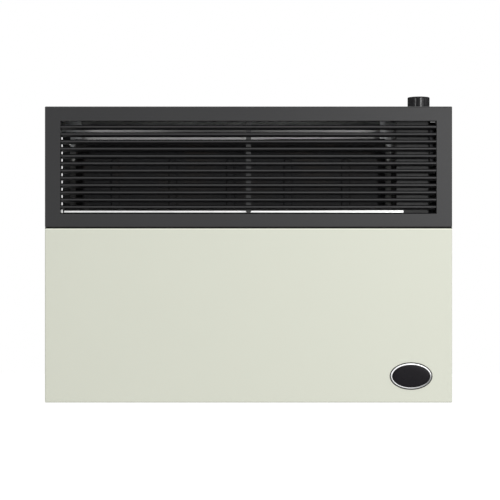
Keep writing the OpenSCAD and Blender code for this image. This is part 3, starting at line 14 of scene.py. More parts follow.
import bpy
import bmesh
from bpy.types import Material, Mesh, Object
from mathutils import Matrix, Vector


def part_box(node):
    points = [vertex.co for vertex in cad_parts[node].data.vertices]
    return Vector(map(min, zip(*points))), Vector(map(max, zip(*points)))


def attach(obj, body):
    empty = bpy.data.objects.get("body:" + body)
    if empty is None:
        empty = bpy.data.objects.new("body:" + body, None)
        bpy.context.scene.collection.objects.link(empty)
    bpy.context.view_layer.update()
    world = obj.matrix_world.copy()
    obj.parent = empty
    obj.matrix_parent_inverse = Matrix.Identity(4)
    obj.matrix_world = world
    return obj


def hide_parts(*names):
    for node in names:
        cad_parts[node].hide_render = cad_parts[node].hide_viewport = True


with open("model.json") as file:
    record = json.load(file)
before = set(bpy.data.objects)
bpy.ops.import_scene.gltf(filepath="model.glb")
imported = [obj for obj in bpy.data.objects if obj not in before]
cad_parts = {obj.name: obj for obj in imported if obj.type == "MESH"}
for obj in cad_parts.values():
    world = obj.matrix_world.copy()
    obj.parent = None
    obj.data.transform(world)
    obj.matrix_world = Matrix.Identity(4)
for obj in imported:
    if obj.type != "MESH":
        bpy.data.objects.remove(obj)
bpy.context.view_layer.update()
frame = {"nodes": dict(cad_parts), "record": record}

MM = 0.001
FULL_TURN = 2 * math.pi
SHARP_DEGREES = 32.0
POINTER_DEGREES = -98.0
CORNERS = ((-1, -1), (1, -1), (1, 1), (-1, 1))
LOG = logging.getLogger("heater")

Colour = tuple[float, float, float]
Pair = tuple[float, float]
Ring = list[Vector]
Reach = Callable[[float, float], float]


# ------------------------------------------------------------------ node trees


class Signal:
    """One output socket of a node, with Python operators for its maths."""

    def __init__(self, tree: "Tree", socket: bpy.types.NodeSocket) -> None:
        """Wraps a socket of a tree."""
        self.tree = tree
        self.socket = socket

    def of(self, output: str | int) -> "Signal":
        """Another output of the same node."""
        return Signal(self.tree, self.socket.node.outputs[output])

    def __add__(self, other: "Signal | float") -> "Signal":
        """The sum."""
        return self.tree.math("ADD", self, other)

    def __sub__(self, other: "Signal | float") -> "Signal":
        """The difference."""
        return self.tree.math("SUBTRACT", self, other)

    def __rsub__(self, other: float) -> "Signal":
        """The difference, taken from a number."""
        return self.tree.math("SUBTRACT", other, self)

    def __mul__(self, other: "Signal | float") -> "Signal":
        """The product."""
        return self.tree.math("MULTIPLY", self, other)

    __radd__ = __add__
    __rmul__ = __mul__

    def __abs__(self) -> "Signal":
        """The size without its sign."""
        return self.tree.math("ABSOLUTE", self, 0.0)

    def swing(self, span: float) -> "Signal":
        """A noise, which lies between 0 and 1, as a swing of that span round 0."""
        return (self - 0.5) * span

    def step(self, low: float, high: float) -> "Signal":
        """A smooth step from 0 at low to 1 at high, which may be the smaller one."""
        ends = {"Value": self, "From Min": low, "From Max": high}
        return self.tree.node("ShaderNodeMapRange", ends, interpolation_type="SMOOTHSTEP")


class Tree:
    """A node tree that is built with Python expressions."""

    def __init__(self, group: bpy.types.NodeTree) -> None:
        """Starts with the empty tree."""
        self.group = group
        group.nodes.clear()

    def node(self, kind: str, inputs: dict | None = None, **settings: object) -> Signal:
        """Adds a node.

        Args:
            kind: The node's type.
            inputs: A value or a Signal for each socket, by name or index.
            settings: Its properties, set before its sockets.

        Returns:
            The node's first output, or its first input where it has no output.
        """
        made = self.group.nodes.new(kind)
        for name, value in settings.items():
            setattr(made, name, value)
        for key, value in (inputs or {}).items():
            if isinstance(value, Signal):
                self.group.links.new(value.socket, made.inputs[key])
            else:
                made.inputs[key].default_value = value
        return Signal(self, (made.outputs or made.inputs)[0])

    def math(self, operation: str, *terms: "Signal | float") -> Signal:
        """A Math node."""
        return self.node("ShaderNodeMath", dict(enumerate(terms)), operation=operation)

    def vector(self, *parts: "Signal | float") -> Signal:
        """A vector from its x, y and z."""
        return self.node("ShaderNodeCombineXYZ", dict(enumerate(parts)))

    def shade(self, vector: "Signal | Colour", level: Signal) -> Signal:
        """A colour made darker or lighter, or a vector made shorter or longer, by a level."""
        return self.node("ShaderNodeVectorMath", {0: vector, "Scale": level}, operation="SCALE")


class Shader(Tree):
    """The node tree of one material, read in Object coordinates."""

    def __init__(self, name: str) -> None:
        """Starts an empty material.

        Args:
            name: The material's name.
        """
        self.material = bpy.data.materials.new(name)
        self.material.use_nodes = True
        super().__init__(self.material.node_tree)
        self.place = self.node("ShaderNodeTexCoord").of("Object")

    def axes(self) -> list[Signal]:
        """The x, y and z of the shaded point, in millimetres."""
        parts = self.node("ShaderNodeSeparateXYZ", {"Vector": self.place})
        return [parts.of(name) * (1 / MM) for name in "XYZ"]

    def noise(self, grain: float, detail: float = 2.0, stretch: Colour = (1, 1, 1)) -> Signal:
        """A soft noise round 0.5.

        Args:
            grain: The size of a patch, in millimetres.
            detail: The octaves of finer noise.
            stretch: Factors on the three axes; a small one draws the patches out.

        Returns:
            The noise.
        """
        place = self.node("ShaderNodeMapping", {"Vector": self.place, "Scale": stretch})
        sizes = {"Vector": place, "Scale": 1 / (grain * MM), "Detail": detail}
        return self.node("ShaderNodeTexNoise", sizes)

    def mix(self, share: Signal, low: "Signal | Colour", high: "Signal | Colour") -> Signal:
        """A colour between two colours."""
        low, high = (end if isinstance(end, Signal) else (*end, 1.0) for end in (low, high))
        return self.node("ShaderNodeMix", {0: share, 6: low, 7: high}, data_type="RGBA").of(2)

    def finish(self, colour: Signal, roughness: Signal, relief: Signal, depth: float,
               sockets: dict | None = None) -> Material:
        """Ends the tree in a Principled shader.

        Args:
            colour: The base colour.
            roughness: The roughness.
            relief: The height of the surface, from 0 to 1.
            depth: The depth of that relief, in millimetres.
            sockets: The values or Signals of other sockets.

        Returns:
            The finished material.
        """
        normal = self.node("ShaderNodeBump", {"Height": relief, "Distance": depth * MM})
        surface = self.node("ShaderNodeBsdfPrincipled", {
            "Base Color": colour, "Roughness": roughness, "Normal": normal, **(sockets or {})})
        self.node("ShaderNodeOutputMaterial", {"Surface": surface})
        return self.material


class Repeat(Tree):
    """A Geometry Nodes tree with named inputs, turned into a plain mesh."""

    def __init__(self, name: str) -> None:
        """Starts a tree with one geometry in and one out.

        Args:
            name: The tree's name.
        """
        super().__init__(bpy.data.node_groups.new(name, "GeometryNodeTree"))
        for side in ("INPUT", "OUTPUT"):
            self.group.interface.new_socket("Geometry", in_out=side,
                                            socket_type="NodeSocketGeometry")
        self.points = self.node("NodeGroupInput")
        self.values: dict[str, object] = {}

    def size(self, name: str, value: object, kind: str = "Float") -> Signal:
        """Adds a named input.

        Args:
            name: The input's name.
            value: What the modifier gives it.
            kind: The socket's kind, such as Float, Int, Object or Material.

        Returns:
            The input inside the tree.
        """
        made = self.group.interface.new_socket(name, in_out="INPUT",
                                               socket_type="NodeSocket" + kind)
        self.values[made.identifier] = value
        return self.points.of(name)

    def attribute(self, name: str, kind: str) -> Signal:
        """A named attribute of the points."""
        return self.node("GeometryNodeInputNamedAttribute", {"Name": name}, data_type=kind)

    def part(self, name: str, shape: Object) -> Signal:
        """The geometry of an object that is a named input."""
        shown = {"Object": self.size(name, shape, "Object")}
        return self.node("GeometryNodeObjectInfo", shown).of("Geometry")

    def copies(self, points: Signal, part: Signal, **more: Signal) -> Signal:
        """A part set on each point, turned or scaled where more says so."""
        inputs = {"Points": points, "Instance": part, **more}
        return self.node("GeometryNodeInstanceOnPoints", inputs)

    def join(self, parts: Sequence[Signal]) -> Signal:
        """Several geometries as one.

        Args:
            parts: The geometries.

        Returns:
            All of them together.
        """
        joined = self.node("GeometryNodeJoinGeometry")
        for part in parts:
            self.group.links.new(part.socket, joined.socket.node.inputs[0])
        return joined

    def bake(self, name: str, result: Signal, material: Material,
             points: Mesh | None = None) -> Object:
        """Ends the tree, evaluates it once and keeps the plain mesh.

        Args:
            name: The name of the new object.
            result: The geometry that the tree makes.
            material: The finish of the whole result.
            points: The mesh that the tree starts from.

        Returns:
            An object at the origin, without modifiers.
        """
        finish = self.size("Finish", material, "Material")
        real = self.node("GeometryNodeRealizeInstances", {0: result})
        dressed = self.node("GeometryNodeSetMaterial", {"Geometry": real, "Material": finish})
        self.node("NodeGroupOutput", {0: dressed})
        host = added(name + "_host", points or bpy.data.meshes.new(name + "_points"))
        modifier = host.modifiers.new(name, "NODES")
        modifier.node_group = self.group
        for identifier, value in self.values.items():
            modifier[identifier] = value
        made = plain_copy(host, name)
        bpy.data.objects.remove(host)
        return made


# ------------------------------------------------------------------ mesh tools


def added(name: str, data: bpy.types.ID) -> Object:
    """A new object in the scene.

    Args:
        name: Its name.
        data: Its mesh, light or camera.

    Returns:
        The object.
    """
    made = bpy.data.objects.new(name, data)
    bpy.context.scene.collection.objects.link(made)
    return made


def smooth(mesh: Mesh) -> None:
    """Shades a mesh smooth, apart from its sharp edges."""
    mesh.shade_smooth()
    mesh.set_sharp_from_angle(angle=math.radians(SHARP_DEGREES))


def plain_copy(source: Object, name: str) -> Object:
    """Turns an object with its modifiers into a new plain mesh object.

    Args:
        source: The object with its modifiers.
        name: The new object's name.

    Returns:
        The new object.
    """
    bpy.context.view_layer.update()
    graph = bpy.context.evaluated_depsgraph_get()
    mesh = bpy.data.meshes.new_from_object(source.evaluated_get(graph), depsgraph=graph)
    mesh.name = name
    smooth(mesh)
    return added(name, mesh)


class Maker:
    """Collects closed shells in one mesh and turns them into an object."""

    def __init__(self) -> None:
        """Starts with no shell."""
        self.mesh = bmesh.new()

    def loft(self, rings: Sequence[Ring], wrap: bool = False) -> "Maker":
        """Joins rings of points one to the next.

        Args:
            rings: Rings with equally many points, or single points as poles.
            wrap: Whether the last ring joins the first, as on a torus.

        Returns:
            The maker, for another shell.
        """
        rows = [[self.mesh.verts.new(point) for point in ring] for ring in rings]
        pairs = list(zip(rows, rows[1:])) + ([(rows[-1], rows[0])] if wrap else [])
        for low, high in pairs:
            for i in range(max(len(low), len(high))):
                corners = [row[k % len(row)] for row, k in
                           ((low, i), (low, i + 1), (high, i + 1), (high, i))]
                self.mesh.faces.new(list(dict.fromkeys(corners)))
        if not wrap:
            for row in (rows[0], rows[-1]):
                if len(row) > 2:
                    self.mesh.faces.new(row)
        return self

    def make(self, name: str, material: Material) -> Object:
        """Ends the mesh as an object at the origin.

        Args:
            name: The object's name.
            material: Its finish.

        Returns:
            The object.
        """
        bmesh.ops.recalc_face_normals(self.mesh, faces=self.mesh.faces)
        mesh = bpy.data.meshes.new(name)
        self.mesh.to_mesh(mesh)
        self.mesh.free()
        mesh.materials.append(material)
        smooth(mesh)
        return added(name, mesh)


def circle(count: int, point: Callable[[float], Vector]) -> Ring:
    """A ring of as many points, each made from its angle."""
    return [point(FULL_TURN * i / count) for i in range(count)]


def polar(radius: float, angle: float, height: float) -> Vector:
    """A point at a distance from Z and a height, both in millimetres."""
    reach = radius * MM
    return Vector((reach * math.cos(angle), reach * math.sin(angle), height * MM))


def as_drawn(ring: float, _: float) -> float:
    """The radius of a round ring."""
    return ring


def turned(profile: Sequence[Pair], segments: int, middle: Vector = Vector(),
           reach: Reach = as_drawn) -> list[Ring]:
    """Rings of a shape turned about Z.

    Args:
        profile: Radius and height of each ring, in millimetres; a radius of 0 is a pole.
        segments: The points of a ring.
        middle: The point on the axis where the height is 0, in metres.
        reach: Gives a ring point's radius from the ring's radius and its angle.

    Returns:
        One ring for each point of the profile.
    """
    return [circle(segments if r else 1, lambda a: middle + polar(reach(r, a), a, z))
            for r, z in profile]


def hexagon(corner: float, bore: float) -> Reach:
    """Gives the radius of a turned hexagon.

    Args:
        corner: The radius of its corners, in millimetres.
        bore: The radius of the round hole in it.

    Returns:
        A function of a ring's radius and an angle.
    """
    half_side = math.pi / 6
    flat = corner * math.cos(half_side)

    def reach(ring: float, angle: float) -> float:
        """The ring's radius at an angle.

        Args:
            ring: The ring's own radius, in millimetres.
            angle: The angle, in radians.

        Returns:
            The hexagon's radius there, or the ring's own in the hole.
        """
        if ring <= bore:
            return ring
        return min(ring, flat / math.cos((angle + half_side) % (2 * half_side) - half_side))

    return reach


def arc(middle: Pair, radius: float, start: float, end: float,
        steps: int) -> list[Pair]:
    """Points on an arc, from one angle to another in degrees."""
    angles = [math.radians(start + (end - start) * i / steps) for i in range(steps + 1)]
    return [(middle[0] + radius * math.cos(a), middle[1] + radius * math.sin(a)) for a in angles]


def solids(node: str) -> list[list[Vector]]:
    """The vertices of each separate solid of a CAD node.

    Args:
        node: The CAD node.

    Returns:
        One list of vertices for each solid.
    """
    mesh = bmesh.new()
    mesh.from_mesh(frame["nodes"][node].data)
    bmesh.ops.remove_doubles(mesh, verts=mesh.verts, dist=1e-6)
    found, seen = [], set()
    for start in mesh.verts:
        if start in seen:
            continue
        seen.add(start)
        queue, island = [start], []
        while queue:
            vertex = queue.pop()
            island.append(vertex.co.copy())
            others = [edge.other_vert(vertex) for edge in vertex.link_edges]
            fresh = [other for other in others if other not in seen]
            seen.update(fresh)
            queue += fresh
        found.append(island)
    mesh.free()
    return found


class Upright(NamedTuple):
    """The middle of a CAD node on an upright axis, in metres, and its other measures."""

    middle: Vector
    radius: float
    foot: float
    top: float

    @classmethod
    def of(cls, node: str) -> "Upright":
        """Measures a node.

        Args:
            node: The CAD node.

        Returns:
            Its measures.
        """
        low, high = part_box(node)
        middle = Vector(((low.x + high.x) / 2, (low.y + high.y) / 2, 0))
        return cls(middle, (high.x - low.x) / 2 / MM, low.z / MM, high.z / MM)


# ------------------------------------------------------------------ finishes


# How a sheet or a bar was worked: the axes that the marks run along have small factors
ROLLED: Colour = (0.06, 1.0, 1.0)
BRUSHED: Colour = (0.05, 1.0, 1.0)
DRAWN: Colour = (1.0, 1.0, 0.1)
# A zone of painted shade of a lower level than this has no gloss
MATT_BELOW = 0.5


class Finish(Protocol):
    """A finish makes one material."""

    def build(self, name: str) -> Material:
        """Makes the material."""


class Axis(Enum):
    """The directions that a zone of a finish may run along."""

    ACROSS = 0
    DEEP = 1
    UP = 2


@dataclass(frozen=True)
class Zone:
    """Painted shade or a painted highlight on a finish, from a place on one axis to its full
    strength.

    A gate is a second zone: the first one then holds only where both do.
    """

    axis: Axis
    start: float
    end: float
    level: float = 0.0
    middle: float | None = None
    gate: "Zone | None" = None

    def share(self, tree: Shader) -> Signal:
        """How far a point lies in the zone: 0 before start and 1 past end.

        Args:
            tree: The material's tree.

        Returns:
            The share.
        """
        place = tree.axes()[self.axis.value]
        if self.middle is not None:
            place = abs(place - self.middle)
        inside = place.step(self.start, self.end)
        return inside * self.gate.share(tree) if self.gate else inside


def zoned(tree: Shader, level: Signal, zones: Sequence[Zone]) -> tuple[Signal, Signal]:
    """Applies zones of painted shade and painted highlights to a level.

    Args:
        tree: The material's tree.
        level: The level that the colour is multiplied by.
        zones: The zones.

    Returns:
        The new level, and how far a point lies in deep painted shade, where there is no gloss.
    """
    dark = level * 0.0
    for zone in zones:
        share = zone.share(tree)
        level = level * (share * (zone.level - 1.0) + 1.0)
        if zone.level < MATT_BELOW:
            dark = tree.math("MAXIMUM", dark, share)
    return level, dark


class Ramp(NamedTuple):
    """A smooth rise between two places on an axis, in millimetres, to a height."""

    start: float
    end: float
    rise: float = 1.0

    def at(self, place: Signal) -> Signal:
        """The height of the rise at a place."""
        return place.step(self.start, self.end) * self.rise


@dataclass(frozen=True)
class Enamel:
    """Stove enamel on sheet: a fine orange peel, soft clouds and a little dust."""

    colour: Colour
    roughness: float
    specular: float
    clouds: float = 0.03
    peel: float = 1.4
    peel_depth: float = 0.012
    zones: tuple[Zone, ...] = ()

    def build(self, name: str) -> Material:
        """Makes the material.

        Args:
            name: The material's name.

        Returns:
            The material.
        """
        tree = Shader(name)
        peel = tree.noise(self.peel)
        cloud = tree.noise(130.0, 3.0)
        dust = tree.noise(0.6, 1.0).step(0.68, 0.78)
        level = cloud.swing(2 * self.clouds) + 1.0 + peel.swing(0.03)
        # The zones paint shade and highlights; deep painted shade turns black through Metallic
        level, dark = zoned(tree, level, self.zones)
        rough = cloud.swing(0.12) + peel.swing(0.06) + dust * 0.1 + self.roughness
        return tree.finish(tree.shade(self.colour, level), rough, peel, self.peel_depth,
                           {"Metallic": dark, "Specular IOR Level": self.specular})


@dataclass(frozen=True)
class HeatBlack:
    """Matt heat resistant enamel, browned a little where it gets hot, with a bare welded rim."""

    colour: Colour
    browned: Colour
    roughness: float = 0.6
    specular: float = 0.3
    grain_depth: float = 0.03
    hot: Ramp = Ramp(20.0, 220.0)
    rim: Colour = (0.17, 0.17, 0.165)
    rim_depth: Ramp = Ramp(-108.0, -107.0)
    rim_middle: float = -38.75
    # Painted shade low on the rim, painted light near its top and a painted highlight at its right
    rim_reach: Ramp = Ramp(336.0, 337.0)
    rim_share_in_painted_shade: float = 0.7
    rim_painted_light_top: Ramp = Ramp(196.0, 232.0, 0.3)
    rim_painted_highlight_right: Ramp = Ramp(293.0, 305.0, 2.4)

    def build(self, name: str) -> Material:
        """Makes the material, with painted shade low on the rim and a painted highlight at its
        right.

        Args:
            name: The material's name.

        Returns:
            The material.
        """
        tree = Shader(name)
        grain = tree.noise(0.9, 3.0)
        across, deep, height = tree.axes()
        brown = self.hot.at(height) * tree.noise(85.0, 4.0).step(0.42, 0.66)
        bare = self.rim_reach.at(abs(across - self.rim_middle)) * self.rim_depth.at(deep)
        bare = bare * (self.rim_painted_light_top.at(height) + self.rim_share_in_painted_shade)
        rim = tree.shade(self.rim, self.rim_painted_highlight_right.at(across) + 1.0)
        colour = tree.mix(bare, tree.mix(brown, self.colour, self.browned), rim)
        return tree.finish(tree.shade(colour, grain.swing(0.3) + 1.0),
                           grain.swing(0.2) + self.roughness, grain, self.grain_depth,
                           {"Specular IOR Level": self.specular})


@dataclass(frozen=True)
class Spangled:
    """Zinc coated sheet: crystals of many greys with a fine rolled grain."""

    colour: Colour
    crystal: float = 9.0
    roughness: float = 0.36
    rolled_depth: float = 0.01
    contrast: float = 1.0
    zones: tuple[Zone, ...] = ()

    def build(self, name: str) -> Material:
        """Makes the material.

        Args:
            name: The material's name.

        Returns:
            The material.
        """
        tree = Shader(name)
        cells = {"Vector": tree.place, "Scale": 1 / (self.crystal * MM)}
        crystal = tree.node("ShaderNodeTexVoronoi", cells).of("Color")
        tone = tree.node("ShaderNodeSeparateColor", {"Color": crystal})
        rolled = tree.noise(1.2, stretch=ROLLED)
        stain = tree.noise(60.0, 4.0).step(0.55, 0.8)
        level = (tone.swing(0.16) + rolled.swing(0.12) - stain * 0.14) * self.contrast + 1.0
        rough = (tone.of("Green").swing(0.16) + stain * 0.14) * self.contrast + self.roughness
        level, _ = zoned(tree, level, self.zones)
        return tree.finish(tree.shade(self.colour, level), rough, rolled, self.rolled_depth,
                           {"Metallic": 1.0})


@dataclass(frozen=True)
class PaintedReflectionSheet:
    """Coated sheet with painted reflections in bands, one above the other.

    The lower band has one level. The middle one has painted highlights at both ends and painted
    shade between them, and the crown above it has a painted highlight in its middle and a film
    over the metal.
    """

    colour: Colour
    roughness: float = 0.32
    rolled_depth: float = 0.008
    lower: float = 0.88
    above_lower: Ramp = Ramp(262.0, 268.0)
    middle_shade: float = 0.28
    left_painted_highlight: Ramp = Ramp(-107.0, -340.0, 0.72)
    right_painted_highlight: Ramp = Ramp(-60.0, 230.0, 0.30)
    above_middle: Ramp = Ramp(279.0, 284.0)
    crown_shade: float = 0.4
    crown_painted_highlight: Ramp = Ramp(330.0, 40.0, 0.6)
    crown_film: float = 0.8
    zones: tuple[Zone, ...] = ()

    def build(self, name: str) -> Material:
        """Makes the material.

        Args:
            name: The material's name.

        Returns:
            The material.
        """
        tree = Shader(name)
        rolled = tree.noise(1.2, stretch=ROLLED)
        cloud = tree.noise(40.0, 3.0)
        across, _, height = tree.axes()
        over, top = self.above_lower.at(height), self.above_middle.at(height)
        middle = self.left_painted_highlight.at(across) + self.right_painted_highlight.at(across) + self.middle_shade
        crown = self.crown_painted_highlight.at(abs(across)) + self.crown_shade
        level = (1 - over) * self.lower + over * (1 - top) * middle + top * crown
        level, _ = zoned(tree, level * (rolled.swing(0.08) + cloud.swing(0.16) + 1.0), self.zones)
        return tree.finish(tree.shade(self.colour, level), rolled.swing(0.1) + self.roughness,
                           rolled, self.rolled_depth,
                           {"Metallic": top * -self.crown_film + 1.0})


@dataclass(frozen=True)
class Worked:
    """Bare or plated metal with fine working marks and some tarnish."""

    colour: Colour
    tarnish: Colour
    tarnished: float = 0.5
    roughness: float = 0.3
    marks: float = 0.35
    marks_depth: float = 0.006
    stretch: Colour = (1.0, 1.0, 1.0)
    patch: float = 18.0
    zones: tuple[Zone, ...] = ()

    def build(self, name: str) -> Material:
        """Makes the material.

        Args:
            name: The material's name.

        Returns:
            The material.
        """
        tree = Shader(name)
        marks = tree.noise(self.marks, stretch=self.stretch)
        stain = tree.noise(self.patch, 4.0).step(0.45, 0.75) * self.tarnished
        colour = tree.mix(stain, self.colour, self.tarnish)
        level, _ = zoned(tree, marks.swing(0.16) + 1.0, self.zones)
        rough = marks.swing(0.2) + stain * 0.25 + self.roughness
        return tree.finish(tree.shade(colour, level), rough, marks, self.marks_depth,
                           {"Metallic": 1.0})


@dataclass(frozen=True)
class Tempered:
    """Stainless sheet with straw and blue heat colours round the flame."""

    colour: Colour
    roughness: float = 0.34
    brushed_depth: float = 0.006
    straw: Colour = (0.52, 0.36, 0.16)
    straw_near: Ramp = Ramp(55.0, 16.5, 0.8)
    blue: Colour = (0.16, 0.18, 0.34)
    blue_near: Ramp = Ramp(24.75, 5.5, 0.7)
    flame_height: float = -125.0

    def build(self, name: str) -> Material:
        """Makes the material.

        Args:
            name: The material's name.

        Returns:
            The material.
        """
        tree = Shader(name)
        brushed = tree.noise(0.5, stretch=BRUSHED)
        away = abs(tree.axes()[2] - self.flame_height) + tree.noise(24.0, 3.0).swing(30.0)
        colour = tree.mix(self.straw_near.at(away), self.colour, self.straw)
        colour = tree.mix(self.blue_near.at(away), colour, self.blue)
        return tree.finish(tree.shade(colour, brushed.swing(0.2) + 1.0),
                           brushed.swing(0.2) + self.roughness, brushed, self.brushed_depth,
                           {"Metallic": 1.0})


@dataclass(frozen=True)
class Moulded:
    """Moulded plastic or rubber with a fine spark-eroded grain and handling marks."""

    colour: Colour
    roughness: float
    specular: float
    grain: float = 0.35
    grain_depth: float = 0.02
    worn: float = 0.25
    coat: float = 0.0

    def build(self, name: str) -> Material:
        """Makes the material.

        Args:
            name: The material's name.

        Returns:
            The material.
        """
        tree = Shader(name)
        grain = tree.noise(self.grain)
        rubbed = tree.noise(9.0, 4.0).step(0.5, 0.75)
        level = grain.swing(0.25) + rubbed * self.worn + 1.0
        rough = grain.swing(0.15) - rubbed * 0.08 + self.roughness
        return tree.finish(self.with_highlights(tree, tree.shade(self.colour, level)), rough, grain,
                           self.grain_depth,
                           {"Specular IOR Level": self.specular, "Coat Weight": self.coat})

    def with_highlights(self, tree: Shader, base: Signal) -> Signal:
        """The colour with any painted highlights on it, which is none here."""
        return base


class GlintLine(NamedTuple):
    """A painted highlight along a pointer: its place across it, its half width and its strength."""

    place: float
    half_width: float
    strength: float


@dataclass(frozen=True)
class PointerHighlighted(Moulded):
    """Moulded plastic of a knob with painted highlights along its pointer's edges, broken by
    scuffs.
    """

    node: str = "control_knob"
    # The colour of the painted highlights
    paint: Colour = (0.32, 0.32, 0.32)
    # The painted highlights begin between these shares of the radius and these depths under the top
    reach_shares: Pair = (0.7, 0.75)
    below_top: Pair = (2.0, 3.0)
    glint_lines: tuple[GlintLine, ...] = (GlintLine(-5.9, 1.5, 0.55), GlintLine(5.6, 2.0, 1.0),
                                   GlintLine(9.6, 1.2, 0.35))

    def with_highlights(self, tree: Shader, base: Signal) -> Signal:
        """The colour with the painted highlights on it.

        Args:
            tree: The material's tree.
            base: The colour of the plastic.

        Returns:
            The colour with the painted highlights.
        """
        middle, radius, _, top = Upright.of(self.node)
        across, deep, height = tree.axes()
        across, deep = across - middle.x / MM, deep - middle.y / MM
        turn = math.radians(POINTER_DEGREES)
        along = across * math.cos(turn) + deep * math.sin(turn)
        aside = deep * math.cos(turn) - across * math.sin(turn)
        glints = sum(Ramp(line.half_width, 0.6 * line.half_width, line.strength)
                    .at(abs(aside - line.place)) for line in self.glint_lines)
        outside = along.step(*(share * radius for share in self.reach_shares))
        below = height.step(*(top - depth for depth in self.below_top))
        scuffs = tree.noise(2.0, 3.0).step(0.25, 0.6)
        return tree.mix(glints * outside * below * scuffs, base, self.paint)


@dataclass(frozen=True)
class Woven:
    """Glass fibre cord, plaited in slanting strands."""

    colour: Colour
    strand: float = 1.1
    depth: float = 0.15

    def build(self, name: str) -> Material:
        """Makes the material.

        Args:
            name: The material's name.

        Returns:
            The material.
        """
        tree = Shader(name)
        x, y, z = (part * (FULL_TURN / self.strand) for part in tree.axes())
        plait = tree.math("SINE", x + z + y) * tree.math("SINE", x - z + y) * 0.5 + 0.5
        fuzz = tree.noise(0.4, 3.0)
        return tree.finish(tree.shade(self.colour, plait * 0.3 + fuzz * 0.3 + 0.7),
                           fuzz * 0.1 + 0.85, plait * 0.7 + fuzz * 0.3, self.depth)


@dataclass(frozen=True)
class Pane:
    """Heat resistant glass with a light amber tint and a trace of soot."""

    colour: Colour
    soot_depth: float = 0.01
    clear: float = 0.85
    index: float = 1.47

    def build(self, name: str) -> Material:
        """Makes the material.

        Args:
            name: The material's name.

        Returns:
            The material.
        """
        tree = Shader(name)
        soot = tree.noise(7.0, 4.0)
        return tree.finish(tree.shade(self.colour, 1.1 - soot * 0.4), soot * 0.16 + 0.02, soot,
                           self.soot_depth,
                           {"Transmission Weight": self.clear, "IOR": self.index})


CHARCOAL: Colour = (0.021, 0.021, 0.022)
ZINC: Colour = (0.60, 0.61, 0.62)
BLACK_PLASTIC = ((0.006, 0.006, 0.007), 0.34, 0.16)

# The cream sheet has painted shade inside the seam and a painted highlight on its rolled edge below
CREAM_SEAM_PAINTED_SHADE = Zone(Axis.UP, 53.9, 54.5, 0.02)
CREAM_EDGE_PAINTED_HIGHLIGHT = Zone(Axis.UP, 1.3, 0.8, 1.16, middle=52.3)
# The upper casing has painted shade inside the seam and along the sill of the window
CASING_SEAM_PAINTED_SHADE = Zone(Axis.UP, 57.3, 57.1, 0.1)
WINDOW_SILL_PAINTED_SHADE = Zone(Axis.UP, 1.1, 0.8, 0.12, middle=85.9,
                   gate=Zone(Axis.ACROSS, 392.6, 392.2, middle=0.0))
# The hem behind a blade's lip is darkened as painted shade
BLADE_HEM_PAINTED_SHADE = Zone(Axis.DEEP, -232.6, -232.1, 0.25, gate=Zone(Axis.DEEP, -231.5, -231.9))
# The badge's rim has painted shade towards its foot and its right end
RIM_FOOT_PAINTED_SHADE = Zone(Axis.UP, -246.0, -262.0, 0.4)
RIM_RIGHT_PAINTED_SHADE = Zone(Axis.ACROSS, 350.0, 380.0, 0.65)
# The foot of the deflector has painted shade, deeper towards its right end
DEFLECTOR_FOOT_PAINTED_SHADE = (
    Zone(Axis.UP, 262.0, 261.0, 0.72, gate=Zone(Axis.ACROSS, -40.0, 220.0)),
    Zone(Axis.UP, 256.8, 255.4, 0.12, gate=Zone(Axis.ACROSS, -10.0, 80.0)),
    Zone(Axis.UP, 260.0, 257.0, 0.35, gate=Zone(Axis.ACROSS, 110.0, 270.0)))
# The front of the radiation shield is bright between two edges of painted shade; the upper one
# is the broader at the left
SHIELD_EDGE_PAINTED_SHADE = (
    Zone(Axis.UP, 92.2, 92.8, 0.03), Zone(Axis.UP, 88.6, 88.1, 0.03),
    Zone(Axis.UP, 91.9, 92.2, 0.05, gate=Zone(Axis.ACROSS, 240.0, 60.0)))
# The back plate has painted shade on its side towards the chamber
BACK_PLATE_PAINTED_SHADE = Zone(Axis.DEEP, -0.3, -0.7, 0.15)

FINISHES: dict[str, Finish] = {
    "charcoal_enamel": Enamel(CHARCOAL, 0.4, 0.36),
    "cream_enamel": Enamel((0.700, 0.716, 0.615), 0.42, 0.3, clouds=0.008,
                           zones=(CREAM_SEAM_PAINTED_SHADE, CREAM_EDGE_PAINTED_HIGHLIGHT)),
    "black_enamel": HeatBlack((0.016, 0.016, 0.018), (0.026, 0.022, 0.020)),
    "galvanised_sheet": Spangled(ZINC),
    "zinc_fasteners": Worked((0.62, 0.62, 0.60), (0.42, 0.40, 0.36), 0.4, 0.32),
    "stainless_sheet": Tempered((0.50, 0.48, 0.46)),
    "brass_fittings": Worked((0.72, 0.53, 0.22), (0.34, 0.22, 0.09), 0.6, 0.27, stretch=DRAWN),
    "copper_tube": Worked((0.74, 0.38, 0.24), (0.28, 0.13, 0.08), 0.7, patch=30.0),
    "steel_pipe": Worked((0.38, 0.38, 0.39), (0.20, 0.16, 0.13), roughness=0.42, stretch=DRAWN),
    "die_cast": Worked((0.55, 0.56, 0.57), (0.36, 0.36, 0.36), 0.5, 0.45, 0.7, 0.03),
    "black_plastic": Moulded(*BLACK_PLASTIC),
    "grey_plastic": Moulded((0.50, 0.50, 0.51), 0.3, 0.5, worn=0.04),
    "badge_black": Moulded((0.004, 0.003, 0.005), 0.3, 0.12, 1.1, 0.03, 0.3),
    "chrome_trim": Worked((0.92, 0.92, 0.93), (0.80, 0.80, 0.80), 0.3, 0.09, 0.5, 0.001,
                          zones=(RIM_FOOT_PAINTED_SHADE, RIM_RIGHT_PAINTED_SHADE)),
    "gasket_fibre": Woven((0.42, 0.40, 0.35)),
    "white_ceramic": Moulded((0.80, 0.78, 0.74), 0.16, 0.5, 2.5, 0.01, 0.02, 0.5),
    "red_insulation": Moulded((0.42, 0.05, 0.04), 0.45, 0.4, 0.8, 0.02, 0.1),
    "amber_glass": Pane((0.80, 0.62, 0.35)),
}
